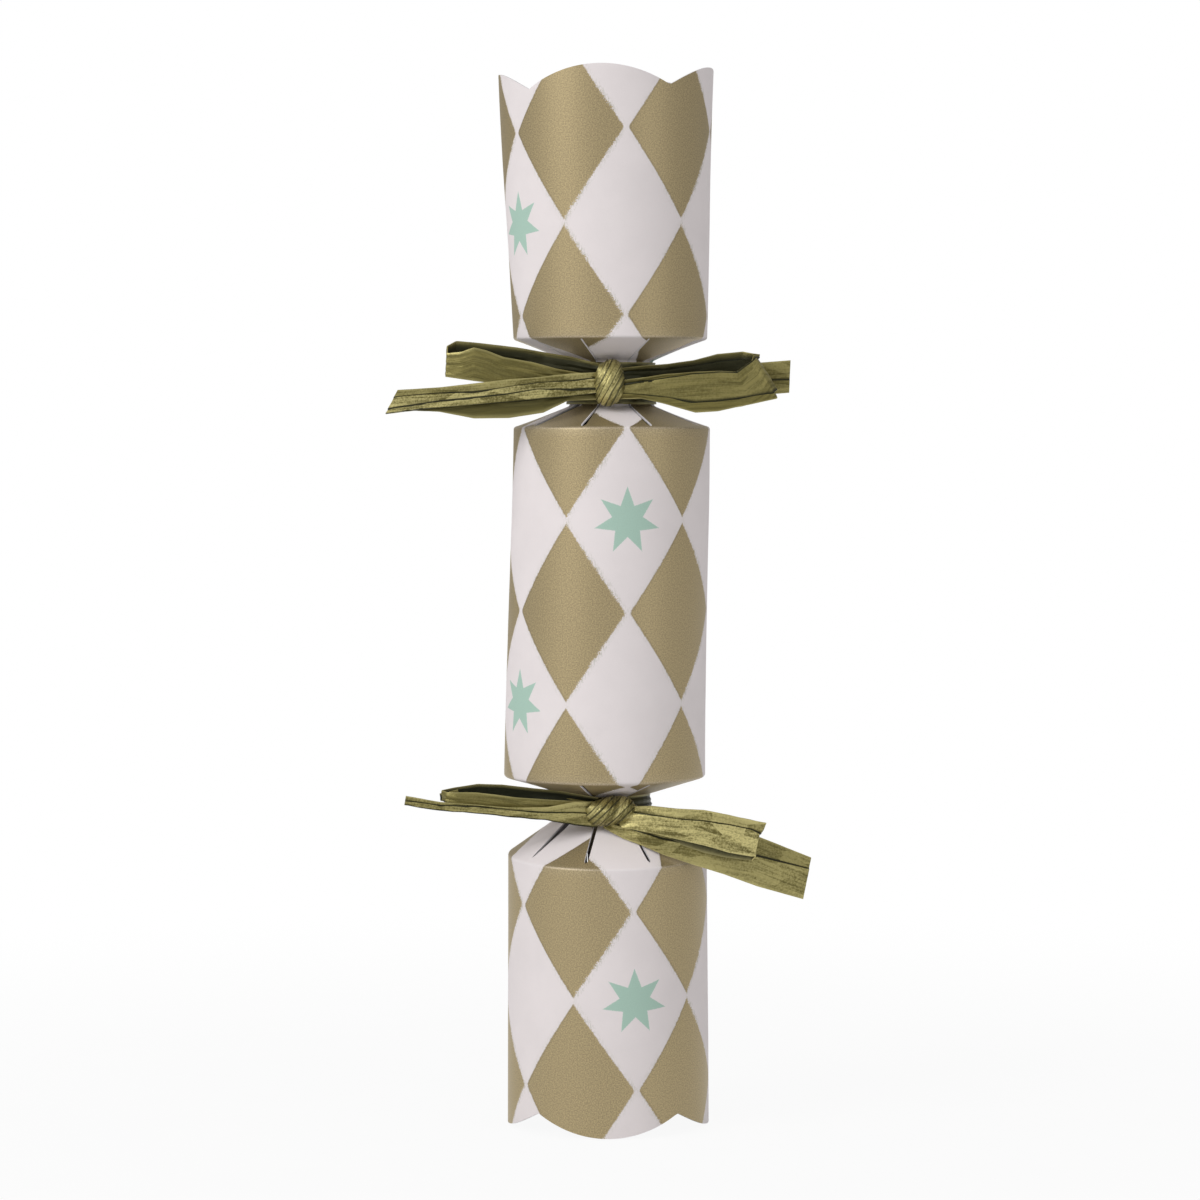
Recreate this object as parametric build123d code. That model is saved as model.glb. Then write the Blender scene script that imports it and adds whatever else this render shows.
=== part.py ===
from build123d import *
import os
from math import atan2, ceil, degrees, hypot, radians, sin, sqrt

# Christmas cracker, standing on one end. Millimetres.
# The origin is on the cracker's axis, level with the tips of the lower scallops. +Z runs up the axis
# and the two bows are tied at the front, towards -Y. Angles are turned from the front towards +X.

# Card wrap: lengths along the axis
lower_end_length = 76.7
lower_neck_gap = 22.0
barrel_length = 100.7
upper_neck_gap = 25.2
upper_end_length = 75.4
lower_end_shoulder = 12.0
barrel_lower_shoulder = 4.4
barrel_upper_shoulder = 6.2
upper_end_shoulder = 6.5

# Card wrap: outer radii
lower_rim_radius = 28.9
lower_end_crease_radius = 28.5
barrel_lower_radius = 28.5
barrel_upper_radius = 27.6
upper_end_crease_radius = 27.6
upper_rim_radius = 30.6
neck_radius = 12.0

# Card wrap: the blank
card_thickness = 0.45
fold_radius = 1.4
scallop_width = 43.3
scallop_depth = 5.9
scallop_trim = 1.0
lower_scallop_turn = -0.3
upper_scallop_turn = -4.8
slit_count = 8
slit_width = 1.3
slit_setback = 1.6
lower_slit_turn = -15.5
upper_slit_turn = -20.5
seam_turn = 192.0
seam_overlap = 12.0
tear_gap = 0.1
waste_overlap = 0.05

# Snap: two strips that overlap in the barrel, with a paper band around the overlap
snap_width = 10.0
snap_thickness = 0.35
snap_overlap = 26.0
snap_offset = 7.5
snap_strip_gap = 0.6
snap_rim_margin = 7.0
snap_bend_radius = 2.5
snap_bend_rise = 1.4
snap_wall_clearance = 0.3
patch_length = 9.0
patch_thickness = 0.2
patch_margin = 1.0
snap_band_length = 30.0
snap_band_thickness = 0.25
snap_band_clearance = 0.3

# What the barrel holds
seat_clearance = 0.3
hat_length = 78.0
hat_core_radius = 1.6
hat_pitch = 1.1
hat_half_turns = 10
tissue_thickness = 0.55
hat_point_depth = 6.0
hat_point_width = 5.0
hat_point_cuts = 3
hat_place = (-16.5, 8.0)
motto_length = 48.0
motto_core_radius = 1.5
motto_pitch = 1.0
motto_half_turns = 5
motto_thickness = 0.3
motto_place = (16.5, 5.0)
top_radius = 11.0
top_rim_height = 5.0
top_cone_height = 1.8
top_crown_height = 2.0
top_hub_radius = 4.0
top_edge_fillet = 0.8
spindle_radius = 1.5
spindle_clearance = 0.05
spindle_tip_length = 6.0
spindle_stem_length = 9.0
spindle_knob_radius = 2.2
gift_depth = 7.0

# Raffia ribbons
ribbon_thickness = 0.8
band_clearance = 0.3
upper_band_width = 10.0
lower_band_width = 4.7
knot_clearance = 0.2
knot_depth = 6.4
knot_edge_fillet = 2.0
ribbon_bend_radius = 14.0
drape_clearance = 1.2
upper_knot_x = 1.0
upper_knot_width = 8.8
upper_knot_height = 12.4
upper_knot_tilt = 8.0
lower_knot_x = 0.7
lower_knot_width = 15.0
lower_knot_height = 6.9
lower_knot_tilt = -10.0
lower_knot_drop = 0.6

# Upper bow: outlines are (across, height from the tie), depths run forwards from the knot's middle
upper_left_loop_outline = [(0.0, 5.5), (-45.0, 11.6), (-45.0, 1.7), (0.0, -3.0)]
upper_left_loop_knot_depths = (-0.9, 0.7)
upper_left_loop_end_depths = (-6.3, 2.7)
upper_right_loop_outline = [
    (2.0, 3.6), (37.4, 8.8), (45.8, 7.4), (45.8, -4.8), (30.0, -8.6), (15.0, -5.6), (2.0, -4.8)
]
upper_right_loop_knot_depths = (-0.9, 0.9)
upper_right_loop_end_depths = (-5.8, 3.2)
upper_left_tail_outline = [
    (0.0, 3.2), (-58.8, -1.9), (-62.1, -8.4), (-38.5, -9.8), (-16.0, -8.1), (0.0, -3.8)
]
upper_left_tail_plan = [(0.0, 2.0), (-26.0, 4.6), (-62.5, 3.6)]
upper_right_tail_outline = [(2.0, 4.7), (51.7, 6.5), (51.4, -2.5), (2.0, -1.3)]
upper_right_tail_plan = [(2.0, -2.0), (16.0, -5.6), (32.0, -9.4), (52.0, -8.6)]

# Lower bow, in the same way, but its right side drapes over the lower end's shoulder
lower_left_loop_outline = [
    (0.0, 2.6), (-10.7, 2.8), (-34.3, 7.1), (-46.4, 5.4), (-46.4, 2.4), (-33.5, 0.9), (0.0, -0.5)
]
lower_left_loop_knot_depths = (-1.1, 0.3)
lower_left_loop_end_depths = (-6.0, 1.5)
lower_left_tail_outline = [
    (-5.0, 0.5), (-33.5, 0.7), (-56.9, 3.9), (-56.9, 1.4), (-33.5, -1.7), (-5.0, -4.5)
]
lower_left_tail_plan = [(-5.0, 1.2), (-28.0, 3.9), (-57.0, 2.7)]
lower_right_loop_outline = [
    (5.0, 1.7), (13.0, 1.7), (32.8, -0.6), (44.2, -3.5), (42.2, -13.2), (21.1, -8.6), (5.0, -4.5)
]
lower_right_loop_knot_depths = (1.6, 2.9)
lower_right_loop_drape_depths = (3.0, 5.6)
lower_right_tail_outline = [
    (1.0, -4.2), (18.0, -8.1), (43.0, -8.4), (57.9, -13.8), (55.4, -25.6), (22.9, -14.4), (1.0, -5.8)
]
lower_right_tail_knot_plan = [(1.0, 0.5)]
lower_right_tail_drape_plan = [(12.0, 0.0), (30.0, -1.0), (58.0, -4.5)]
drape_place = (12.0, -10.0)
drape_least_depth = 1.5

# Heights along the axis
lower_crease_z = lower_end_length
barrel_bottom_z = lower_crease_z + lower_neck_gap
barrel_top_z = barrel_bottom_z + barrel_length
upper_crease_z = barrel_top_z + upper_neck_gap
upper_rim_z = upper_crease_z + upper_end_length
lower_tie_bottom_z = lower_crease_z + lower_end_shoulder
lower_tie_top_z = barrel_bottom_z - barrel_lower_shoulder
upper_tie_bottom_z = barrel_top_z + barrel_upper_shoulder
upper_tie_top_z = upper_crease_z - upper_end_shoulder
lower_tie_z = (lower_tie_bottom_z + lower_tie_top_z) / 2
upper_tie_z = (upper_tie_bottom_z + upper_tie_top_z) / 2
barrel_middle_z = (barrel_bottom_z + barrel_top_z) / 2

# Depths in front of the axis
band_outer_radius = neck_radius + band_clearance + ribbon_thickness
knot_middle_depth = band_outer_radius + knot_clearance + knot_depth / 2


def between(start, end, share):
    return start + (end - start) * share


# Card wrap

def card_shell(*outline):
    """Card of even thickness turned about the axis, from its outer (radius, height) points, upwards."""
    line = FilletPolyline(*outline, radius=fold_radius)
    wall = offset(line, amount=card_thickness, kind=Kind.INTERSECTION, side=Side.LEFT)
    return revolve(Plane.XZ * make_face(wall), Axis.Z)


def seam_lap(lower_point, upper_point):
    """Glued lap of the card's far edge, one thickness inside the straight wall between two points."""
    (lower_radius, lower_z), (upper_radius, upper_z) = lower_point, upper_point
    outer = card_thickness - waste_overlap
    inner = 2 * card_thickness
    lap = make_face(Polyline(
        (lower_radius - outer, lower_z),
        (upper_radius - outer, upper_z),
        (upper_radius - inner, upper_z),
        (lower_radius - inner, lower_z),
        close=True,
    ))
    lap_angle = seam_overlap / radians(lower_radius)
    return Rot(0, 0, seam_turn - 90) * revolve(Plane.XZ * lap, Axis.Z, revolution_arc=lap_angle)


def scallop_waste(rim_radius, tip_z, valley_z, turn):
    """What is cut off a rim to leave round scallops, from past the tips' height to the valleys'.

    The scallops are spaced both ways from the front, and the last two share what is left at the back.
    """
    pitch = degrees(scallop_width / rim_radius)
    each_way = ceil((360 / pitch - 1) / 2)
    half_chord = rim_radius * sin(radians(pitch / 2)) + waste_overlap
    back_chord = rim_radius * sin(radians(180 - pitch * each_way)) + waste_overlap
    past_tip_z = 2 * tip_z - valley_z
    edge = ThreePointArc((-half_chord, valley_z), (0, tip_z), (half_chord, valley_z))
    far_side = Polyline(
        (half_chord, valley_z), (half_chord, past_tip_z), (-half_chord, past_tip_z), (-half_chord, valley_z)
    )
    whole = make_face(edge + far_side)
    up_to_back = Rectangle(2 * half_chord, 4 * scallop_depth, align=(Align.MAX, Align.CENTER))
    last = whole & Pos(back_chord, tip_z) * up_to_back
    cuts = [(k, whole) for k in range(1 - each_way, each_way)]
    cuts += [(each_way, last), (-each_way, mirror(last, Plane.YZ))]
    return [
        Rot(0, 0, turn + pitch * k) * extrude(Plane.XZ * cut, amount=2 * rim_radius) for k, cut in cuts
    ]


def slit_waste(crease_radius, low_z, high_z, turn):
    """Pointed slits that split a shoulder and its half of the neck into tongues."""
    tip = crease_radius - slit_setback
    root = neck_radius - 2 * card_thickness
    wedge = Polyline((0, -tip), (slit_width / 2, -root), (-slit_width / 2, -root), close=True)
    waste = extrude(Plane.XY.offset(low_z) * make_face(wedge), amount=high_z - low_z)
    return [Rot(0, 0, turn + 360 / slit_count * k) * waste for k in range(slit_count)]


def lower_end_wrap():
    rim = (lower_rim_radius, -scallop_trim)
    crease = (lower_end_crease_radius, lower_crease_z)
    shell = card_shell(
        rim, crease, (neck_radius, lower_tie_bottom_z), (neck_radius, lower_tie_z - tear_gap / 2)
    )
    shell += seam_lap(rim, (lower_end_crease_radius, lower_crease_z - fold_radius))
    shell -= scallop_waste(lower_rim_radius, 0, scallop_depth, lower_scallop_turn)
    return shell - slit_waste(
        lower_end_crease_radius, lower_crease_z - slit_setback, lower_tie_z, lower_slit_turn
    )


def barrel_wrap():
    shell = card_shell(
        (neck_radius, lower_tie_z + tear_gap / 2),
        (neck_radius, lower_tie_top_z),
        (barrel_lower_radius, barrel_bottom_z),
        (barrel_upper_radius, barrel_top_z),
        (neck_radius, upper_tie_bottom_z),
        (neck_radius, upper_tie_z - tear_gap / 2),
    )
    lap_bottom = (barrel_lower_radius, barrel_bottom_z + fold_radius)
    lap_top = (barrel_upper_radius, barrel_top_z - fold_radius)
    shell += seam_lap(lap_bottom, lap_top)
    shell -= slit_waste(barrel_lower_radius, lower_tie_z, barrel_bottom_z + slit_setback, lower_slit_turn)
    return shell - slit_waste(
        barrel_upper_radius, barrel_top_z - slit_setback, upper_tie_z, upper_slit_turn
    )


def upper_end_wrap():
    rim = (upper_rim_radius, upper_rim_z + scallop_trim)
    crease = (upper_end_crease_radius, upper_crease_z)
    shell = card_shell(
        (neck_radius, upper_tie_z + tear_gap / 2), (neck_radius, upper_tie_top_z), crease, rim
    )
    shell += seam_lap((upper_end_crease_radius, upper_crease_z + fold_radius), rim)
    shell -= scallop_waste(upper_rim_radius, upper_rim_z, upper_rim_z - scallop_depth, upper_scallop_turn)
    return shell - slit_waste(
        upper_end_crease_radius, upper_tie_z, upper_crease_z + slit_setback, upper_slit_turn
    )


# Snap

upper_strip_y = snap_offset
lower_strip_y = snap_offset - snap_thickness - snap_strip_gap


def strip_wall_y(outer_radius):
    """Where the middle of a flat strip lies against the back of a card tube of that outer radius."""
    reach = outer_radius - card_thickness - snap_wall_clearance
    return sqrt(reach**2 - (snap_width / 2) ** 2) - snap_thickness / 2


def snap_strip(*path):
    """Card strip that follows (y, z) points, bent round at each corner."""
    profile = trace(FilletPolyline(*path, radius=snap_bend_radius), line_width=snap_thickness)
    return extrude(Plane.YZ * profile, amount=snap_width / 2, both=True)


def snap_upper_strip():
    end_z = upper_rim_z - scallop_depth - snap_rim_margin
    end_share = (end_z - upper_crease_z) / upper_end_length
    end_radius = between(upper_end_crease_radius, upper_rim_radius, end_share)
    return snap_strip(
        (strip_wall_y(end_radius), end_z),
        (strip_wall_y(upper_end_crease_radius), upper_crease_z + 2 * snap_bend_rise),
        (upper_strip_y, upper_tie_top_z + snap_bend_rise),
        (upper_strip_y, barrel_middle_z - snap_overlap / 2),
    )


def snap_lower_strip():
    end_z = scallop_depth + snap_rim_margin
    end_radius = between(lower_rim_radius, lower_end_crease_radius, end_z / lower_end_length)
    return snap_strip(
        (lower_strip_y, barrel_middle_z + snap_overlap / 2),
        (lower_strip_y, lower_tie_bottom_z - snap_bend_rise),
        (strip_wall_y(lower_end_crease_radius), lower_crease_z - 2 * snap_bend_rise),
        (strip_wall_y(end_radius), end_z),
    )


def snap_patch(y, low_z):
    """Friction coating on the face of a strip, with the strip's face at y."""
    return Pos(0, y, low_z) * Box(
        snap_width, patch_thickness, patch_length, align=(Align.CENTER, Align.CENTER, Align.MIN)
    )


def snap_upper_patch():
    y = upper_strip_y - snap_thickness / 2 - patch_thickness / 2
    return snap_patch(y, barrel_middle_z - snap_overlap / 2 + patch_margin)


def snap_lower_patch():
    y = lower_strip_y + snap_thickness / 2 + patch_thickness / 2
    return snap_patch(y, barrel_middle_z + snap_overlap / 2 - patch_margin - patch_length)


def snap_band():
    """Paper sleeve glued to the front of the lower strip, with room for the upper strip behind it."""
    front = lower_strip_y - snap_thickness / 2
    back = upper_strip_y + snap_thickness / 2 + snap_band_clearance
    inside = snap_width + 2 * snap_band_clearance
    hollow = Rectangle(inside, back - front)
    paper = Rectangle(inside + 2 * snap_band_thickness, back - front + 2 * snap_band_thickness)
    sleeve = extrude(paper - hollow, amount=snap_band_length / 2, both=True)
    return Pos(0, (front + back) / 2, barrel_middle_z) * sleeve


# What the barrel holds

def barrel_floor_z(radius):
    """Height of the inside of the barrel's lower shoulder at a radius."""
    slope = barrel_lower_shoulder / (barrel_lower_radius - neck_radius)
    inner_face = card_thickness * hypot(1, slope)
    return lower_tie_top_z + (radius - neck_radius) * slope + inner_face


def seat_z(place, radius):
    """Height at which something round at a place stands on the shoulder, on its outermost edge."""
    return barrel_floor_z(hypot(*place) + radius) + seat_clearance


def roll_radius(core_radius, pitch, half_turns, thickness):
    """Reach of a roll on the side where its last half turn ends."""
    return core_radius + half_turns * pitch / 2 + thickness / 2


def stood_at(place, radius):
    """Where a roll stands on the shoulder, with its widest side turned to the wall."""
    return Pos(*place, seat_z(place, radius)) * Rot(0, 0, degrees(atan2(place[1], place[0])))


def paper_roll(core_radius, pitch, half_turns, thickness, length):
    """Sheet rolled up in half circles whose centres take turns, so each half turn lies outside the last."""
    turns = [
        CenterArc((pitch / 2 * (k % 2), 0), core_radius + k * pitch / 2, 180 * (k % 2), 180)
        for k in range(half_turns)
    ]
    return extrude(trace(turns, line_width=thickness), amount=length)


def paper_hat():
    """Rolled tissue hat, with its crown's points at the upper end."""
    roll = paper_roll(hat_core_radius, hat_pitch, hat_half_turns, tissue_thickness, hat_length)
    radius = roll_radius(hat_core_radius, hat_pitch, hat_half_turns, tissue_thickness)
    notch = Polyline(
        (0, hat_length - hat_point_depth),
        (hat_point_width / 2, hat_length + waste_overlap),
        (-hat_point_width / 2, hat_length + waste_overlap),
        close=True,
    )
    cut = extrude(Plane.XZ * make_face(notch), amount=2 * radius, both=True)
    roll -= [Rot(0, 0, 180 / hat_point_cuts * k) * cut for k in range(hat_point_cuts)]
    return stood_at(hat_place, radius) * roll


def motto_slip():
    radius = roll_radius(motto_core_radius, motto_pitch, motto_half_turns, motto_thickness)
    roll = paper_roll(motto_core_radius, motto_pitch, motto_half_turns, motto_thickness, motto_length)
    return stood_at(motto_place, radius) * roll


gift_rim_seat_z = seat_z((0, gift_depth), top_radius)
gift_hub_seat_z = seat_z((0, gift_depth), top_hub_radius) + top_cone_height
gift_place = Pos(0, -gift_depth, max(gift_rim_seat_z, gift_hub_seat_z))


def gift_top_body():
    """Turned disc of a spinning top, coned below, with a hole for its spindle."""
    bore = spindle_radius + spindle_clearance
    half = make_face(Polyline(
        (bore, -top_cone_height),
        (top_hub_radius, -top_cone_height),
        (top_radius, 0),
        (top_radius, top_rim_height),
        (top_hub_radius, top_rim_height + top_crown_height),
        (bore, top_rim_height + top_crown_height),
        close=True,
    ))
    body = revolve(Plane.XZ * half, Axis.Z)
    rim = body.edges().filter_by(GeomType.CIRCLE).filter_by(lambda edge: edge.radius > top_radius / 2)
    return gift_place * fillet(rim, top_edge_fillet)


def gift_top_spindle():
    """Peg of the spinning top: pointed below, with a round knob above."""
    foot_z = -top_cone_height
    knob_z = top_rim_height + top_crown_height + spindle_stem_length
    knob_meet_z = knob_z - sqrt(spindle_knob_radius**2 - spindle_radius**2)
    side = Polyline(
        (0, knob_meet_z),
        (0, foot_z - spindle_tip_length),
        (spindle_radius, foot_z),
        (spindle_radius, knob_meet_z),
        close=True,
    )
    peg = revolve(Plane.XZ * make_face(side), Axis.Z)
    return gift_place * (peg + Pos(0, 0, knob_z) * Sphere(spindle_knob_radius))


# Raffia bows

def forward_of(depth, steps):
    """Depths in front of the axis, from steps forward of one depth."""
    return [depth + step for step in steps]


def plan_from(depth, plan):
    """Plan points of a tail, from steps forward of one depth."""
    return [(x, depth + step) for x, step in plan]


def ribbon_piece(plan_face, outline, tie_z, knot_room):
    """Upright strip with a plan seen from above and an outline seen from the front, cut at the knot."""
    heights = [height for _, height in outline]
    tall = extrude(Plane.XY.offset(tie_z + min(heights)) * plan_face, amount=max(heights) - min(heights))
    window = make_face(Polyline(*[(x, tie_z + height) for x, height in outline], close=True))
    deep = extrude(Plane.XZ * window, amount=barrel_lower_radius + upper_rim_radius)
    return (tall & deep) - knot_room


def bow_tail(outline, plan, tie_z, knot_room):
    """Thin open strip through plan points."""
    line = FilletPolyline(*[(x, -depth) for x, depth in plan], radius=ribbon_bend_radius)
    return ribbon_piece(trace(line, line_width=ribbon_thickness), outline, tie_z, knot_room)


def bow_loop(outline, knot_depths, end_depths, tie_z, knot_room):
    """Thin teardrop loop from the knot to its round end, from (back, front) depths at each."""
    knot_x = outline[0][0]
    end_x = max((x for x, _ in outline), key=abs)
    spread_x = between(knot_x, end_x, 0.4)
    back_depth, front_depth = (between(knot, end, 0.8) for knot, end in zip(knot_depths, end_depths))
    points = [
        (knot_x, -knot_depths[0]),
        (spread_x, -back_depth),
        (end_x, -end_depths[0]),
        (end_x, -end_depths[1]),
        (spread_x, -front_depth),
        (knot_x, -knot_depths[1]),
    ]
    end_radius = 0.45 * (end_depths[1] - end_depths[0])
    radii = [0, ribbon_bend_radius, end_radius, end_radius, ribbon_bend_radius, 0]
    outer = make_face(FilletPolyline(*points, radius=radii, close=True))
    return ribbon_piece(outer - offset(outer, amount=-ribbon_thickness), outline, tie_z, knot_room)


def bow_band(width, tie_z):
    ring = Circle(band_outer_radius) - Circle(neck_radius + band_clearance)
    return Pos(0, 0, tie_z) * extrude(ring, amount=width / 2, both=True)


def bow_knot(x, width, height, tilt, middle_z, room=0.0):
    """Ribbon wrapped over the crossing, round in plan and round at its ends."""
    plan = SlotOverall(width + 2 * room, knot_depth + 2 * room)
    lump = extrude(plan, amount=height / 2 + room, both=True)
    lump = fillet(lump.edges(), knot_edge_fillet)
    return Pos(x, -knot_middle_depth, middle_z) * Rot(0, tilt, 0) * lump


def lower_end_outer_radius(z):
    """Outer radius of the lower end at a height on its shoulder or below it."""
    share = max(0, (z - lower_crease_z) / lower_end_shoulder)
    return between(lower_end_crease_radius, neck_radius, share)


def drape_depth(x, height):
    """Least depth at which a strip clears the lower end's shoulder, at a place on its lower edge."""
    radius = lower_end_outer_radius(lower_tie_z + height)
    return sqrt(max(0, radius**2 - x**2)) + drape_clearance


def upper_bow():
    tie_z = upper_tie_z
    knot = (upper_knot_x, upper_knot_width, upper_knot_height, upper_knot_tilt, tie_z)
    room = bow_knot(*knot, room=knot_clearance)
    depth = knot_middle_depth
    pieces = {
        "band": bow_band(upper_band_width, tie_z),
        "knot": bow_knot(*knot),
        "left_loop": bow_loop(
            upper_left_loop_outline,
            forward_of(depth, upper_left_loop_knot_depths),
            forward_of(depth, upper_left_loop_end_depths),
            tie_z, room,
        ),
        "right_loop": bow_loop(
            upper_right_loop_outline,
            forward_of(depth, upper_right_loop_knot_depths),
            forward_of(depth, upper_right_loop_end_depths),
            tie_z, room,
        ),
        "left_tail": bow_tail(
            upper_left_tail_outline, plan_from(depth, upper_left_tail_plan), tie_z, room
        ),
        "right_tail": bow_tail(
            upper_right_tail_outline, plan_from(depth, upper_right_tail_plan), tie_z, room
        ),
    }
    return {f"upper_bow_{name}": piece for name, piece in pieces.items()}


def lower_bow():
    tie_z = lower_tie_z
    knot_z = tie_z - lower_knot_drop
    knot = (lower_knot_x, lower_knot_width, lower_knot_height, lower_knot_tilt, knot_z)
    room = bow_knot(*knot, room=knot_clearance)
    depth = knot_middle_depth
    drape = max(drape_depth(*drape_place), depth + drape_least_depth)
    right_tail_plan = plan_from(depth, lower_right_tail_knot_plan)
    right_tail_plan += plan_from(drape, lower_right_tail_drape_plan)
    pieces = {
        "band": bow_band(lower_band_width, tie_z),
        "knot": bow_knot(*knot),
        "left_loop": bow_loop(
            lower_left_loop_outline,
            forward_of(depth, lower_left_loop_knot_depths),
            forward_of(depth, lower_left_loop_end_depths),
            tie_z, room,
        ),
        "right_loop": bow_loop(
            lower_right_loop_outline,
            forward_of(depth, lower_right_loop_knot_depths),
            forward_of(drape, lower_right_loop_drape_depths),
            tie_z, room,
        ),
        "left_tail": bow_tail(
            lower_left_tail_outline, plan_from(depth, lower_left_tail_plan), tie_z, room
        ),
        "right_tail": bow_tail(lower_right_tail_outline, right_tail_plan, tie_z, room),
    }
    return {f"lower_bow_{name}": piece for name, piece in pieces.items()}


def main():
    parts = {
        "lower_end_wrap": lower_end_wrap(),
        "barrel_wrap": barrel_wrap(),
        "upper_end_wrap": upper_end_wrap(),
        "snap_upper_strip": snap_upper_strip(),
        "snap_lower_strip": snap_lower_strip(),
        "snap_upper_patch": snap_upper_patch(),
        "snap_lower_patch": snap_lower_patch(),
        "snap_band": snap_band(),
        "paper_hat": paper_hat(),
        "motto_slip": motto_slip(),
        "gift_top_body": gift_top_body(),
        "gift_top_spindle": gift_top_spindle(),
        **upper_bow(),
        **lower_bow(),
    }
    os.makedirs("parts", exist_ok=True)
    for name, part in parts.items():
        export_step(part, f"parts/{name}.step")


main()
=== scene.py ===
"""Dresses the packed christmas cracker: printed card, raffia bows, the snap and what the barrel holds."""

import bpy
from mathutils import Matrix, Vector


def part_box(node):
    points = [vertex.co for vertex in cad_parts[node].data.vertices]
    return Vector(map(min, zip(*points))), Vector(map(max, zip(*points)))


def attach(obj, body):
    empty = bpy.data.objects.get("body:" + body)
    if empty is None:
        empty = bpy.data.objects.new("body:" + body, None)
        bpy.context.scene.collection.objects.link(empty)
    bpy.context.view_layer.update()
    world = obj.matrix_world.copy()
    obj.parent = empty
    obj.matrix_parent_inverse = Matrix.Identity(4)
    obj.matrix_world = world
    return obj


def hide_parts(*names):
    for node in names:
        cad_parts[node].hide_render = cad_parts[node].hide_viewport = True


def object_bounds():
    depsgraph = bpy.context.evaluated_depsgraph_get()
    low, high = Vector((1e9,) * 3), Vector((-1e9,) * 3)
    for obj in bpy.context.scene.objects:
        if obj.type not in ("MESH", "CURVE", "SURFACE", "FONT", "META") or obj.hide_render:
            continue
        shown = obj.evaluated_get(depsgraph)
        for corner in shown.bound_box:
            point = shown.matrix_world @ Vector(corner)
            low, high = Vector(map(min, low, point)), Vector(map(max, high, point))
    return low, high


bl_info = {
    "name": "Christmas cracker",
    "version": (1, 0, 0),
    "blender": (4, 5, 0),
    "location": "View3D > Sidebar > Cracker",
    "description": "Builds a pull-apart party cracker over its packed frame, piece by piece",
    "category": "Object",
}

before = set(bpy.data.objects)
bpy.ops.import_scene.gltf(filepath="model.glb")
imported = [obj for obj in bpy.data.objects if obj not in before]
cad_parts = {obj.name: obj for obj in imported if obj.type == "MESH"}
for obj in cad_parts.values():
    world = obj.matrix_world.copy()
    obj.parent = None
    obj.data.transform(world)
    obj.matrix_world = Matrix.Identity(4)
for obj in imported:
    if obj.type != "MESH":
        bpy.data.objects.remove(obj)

from functools import partial
from math import atan2, ceil, cos, dist, hypot, pi, radians, sin, sqrt, tan
from typing import NamedTuple

import bpy
from bpy.props import FloatProperty, FloatVectorProperty, PointerProperty
from mathutils import Vector, noise

MM = 0.001
CAD_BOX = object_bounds()


def screen_colour(red, green, blue):
    """Linear colour of a tone that is written as a screen shows it, 0 to 255."""
    return tuple(
        tone / 12.92 if tone <= 0.04045 else ((tone + 0.055) / 1.055) ** 2.4
        for tone in (red / 255, green / 255, blue / 255)
    )


def shaded(tone, share):
    return [share * part for part in tone]


def between(start, end, share):
    return start + (end - start) * share


def eased(share):
    share = min(max(share, 0.0), 1.0)
    return share * share * (3 - 2 * share)


# Sizes and colours that a user would change

def length(name, description, default):
    return FloatProperty(
        name=name, description=description, default=default, min=0, unit="LENGTH", precision=5
    )


def amount(name, description, default, unit="NONE"):
    return FloatProperty(name=name, description=description, default=default, min=0, unit=unit)


def angle(name, description, default):
    return FloatProperty(name=name, description=description, default=radians(default), subtype="ANGLE")


def tint(name, description, *tones):
    return FloatVectorProperty(
        name=name, description=description, default=screen_colour(*tones), size=3, min=0, max=1,
        subtype="COLOR",
    )


class CrackerCard(bpy.types.PropertyGroup):
    """Printed card of the tube."""

    thickness: length("Thickness", "Thickness of the card", 0.00045)
    fold_radius: length("Fold radius", "Outer radius of the card's creases", 0.0010)
    scallop_depth: length("Scallop depth", "Height of a scallop from tip to valley", 0.0059)
    scallop_width: length("Scallop width", "Width of a scallop along the rim", 0.0433)
    slit_setback: length("Slit setback", "Distance from a crease to the tips of its slits", 0.0009)
    cut_edge: length("Cut edge", "Width of the bare edge beside a slit", 0.00032)
    lap_width: length("Lap width", "Width of the glued lap at the back", 0.012)
    seam_turn: angle("Seam turn", "Turn from the front to the seam", 192)
    unevenness: length("Unevenness", "How far the rolled card waves", 0.00035)
    tongue_flatness: length("Tongue flatness", "How far the middle of a folded tongue lies in", 0.0003)
    gold: tint("Gold", "Printed diamonds", 174, 157, 120)
    fringe: tint("Fringe", "Dry edges of the printed diamonds", 150, 152, 122)
    ground: tint("Ground", "Bare white of the printed face", 240, 232, 232)
    mint: tint("Mint", "Printed stars", 177, 208, 193)
    inside: tint("Inside", "Unprinted inner face and cut edges", 226, 222, 224)


class CrackerRaffia(bpy.types.PropertyGroup):
    """Paper raffia of the two bows."""

    width: length("Width", "Width of the ribbon laid flat", 0.0105)
    thickness: length("Thickness", "Thickness of the ribbon as modelled", 0.0003)
    pleat_depth: length("Pleat depth", "Depth of the small pleats at a knot", 0.00045)
    crumple: length("Crumple", "Depth of the crumpled facets", 0.0005)
    olive: tint("Olive", "Main tone of the ribbon", 121, 112, 58)
    # Painted highlight on lit strips, facets and edges of the ribbon
    sheen_tone: tint("Sheen tone", "Worn and lit fibres", 210, 199, 136)
    # Painted shade in deep folds, inside loops and on shaded strips
    painted_shade_tone: tint("Fold tone", "Deep folds", 30, 32, 12)


class CrackerFilling(bpy.types.PropertyGroup):
    """Snap, hat, motto and gift inside the barrel."""

    tissue: tint("Tissue", "Paper hat", 104, 158, 128)
    slip: tint("Slip", "Motto paper", 236, 232, 222)
    board: tint("Board", "Snap strips", 168, 150, 122)
    compound: tint("Compound", "Friction coating of the snap", 84, 52, 42)
    sleeve: tint("Sleeve", "Paper band of the snap", 226, 220, 206)
    beech: tint("Beech", "Body of the spinning top", 196, 152, 104)
    peg: tint("Peg", "Spindle of the spinning top", 168, 122, 80)


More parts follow.
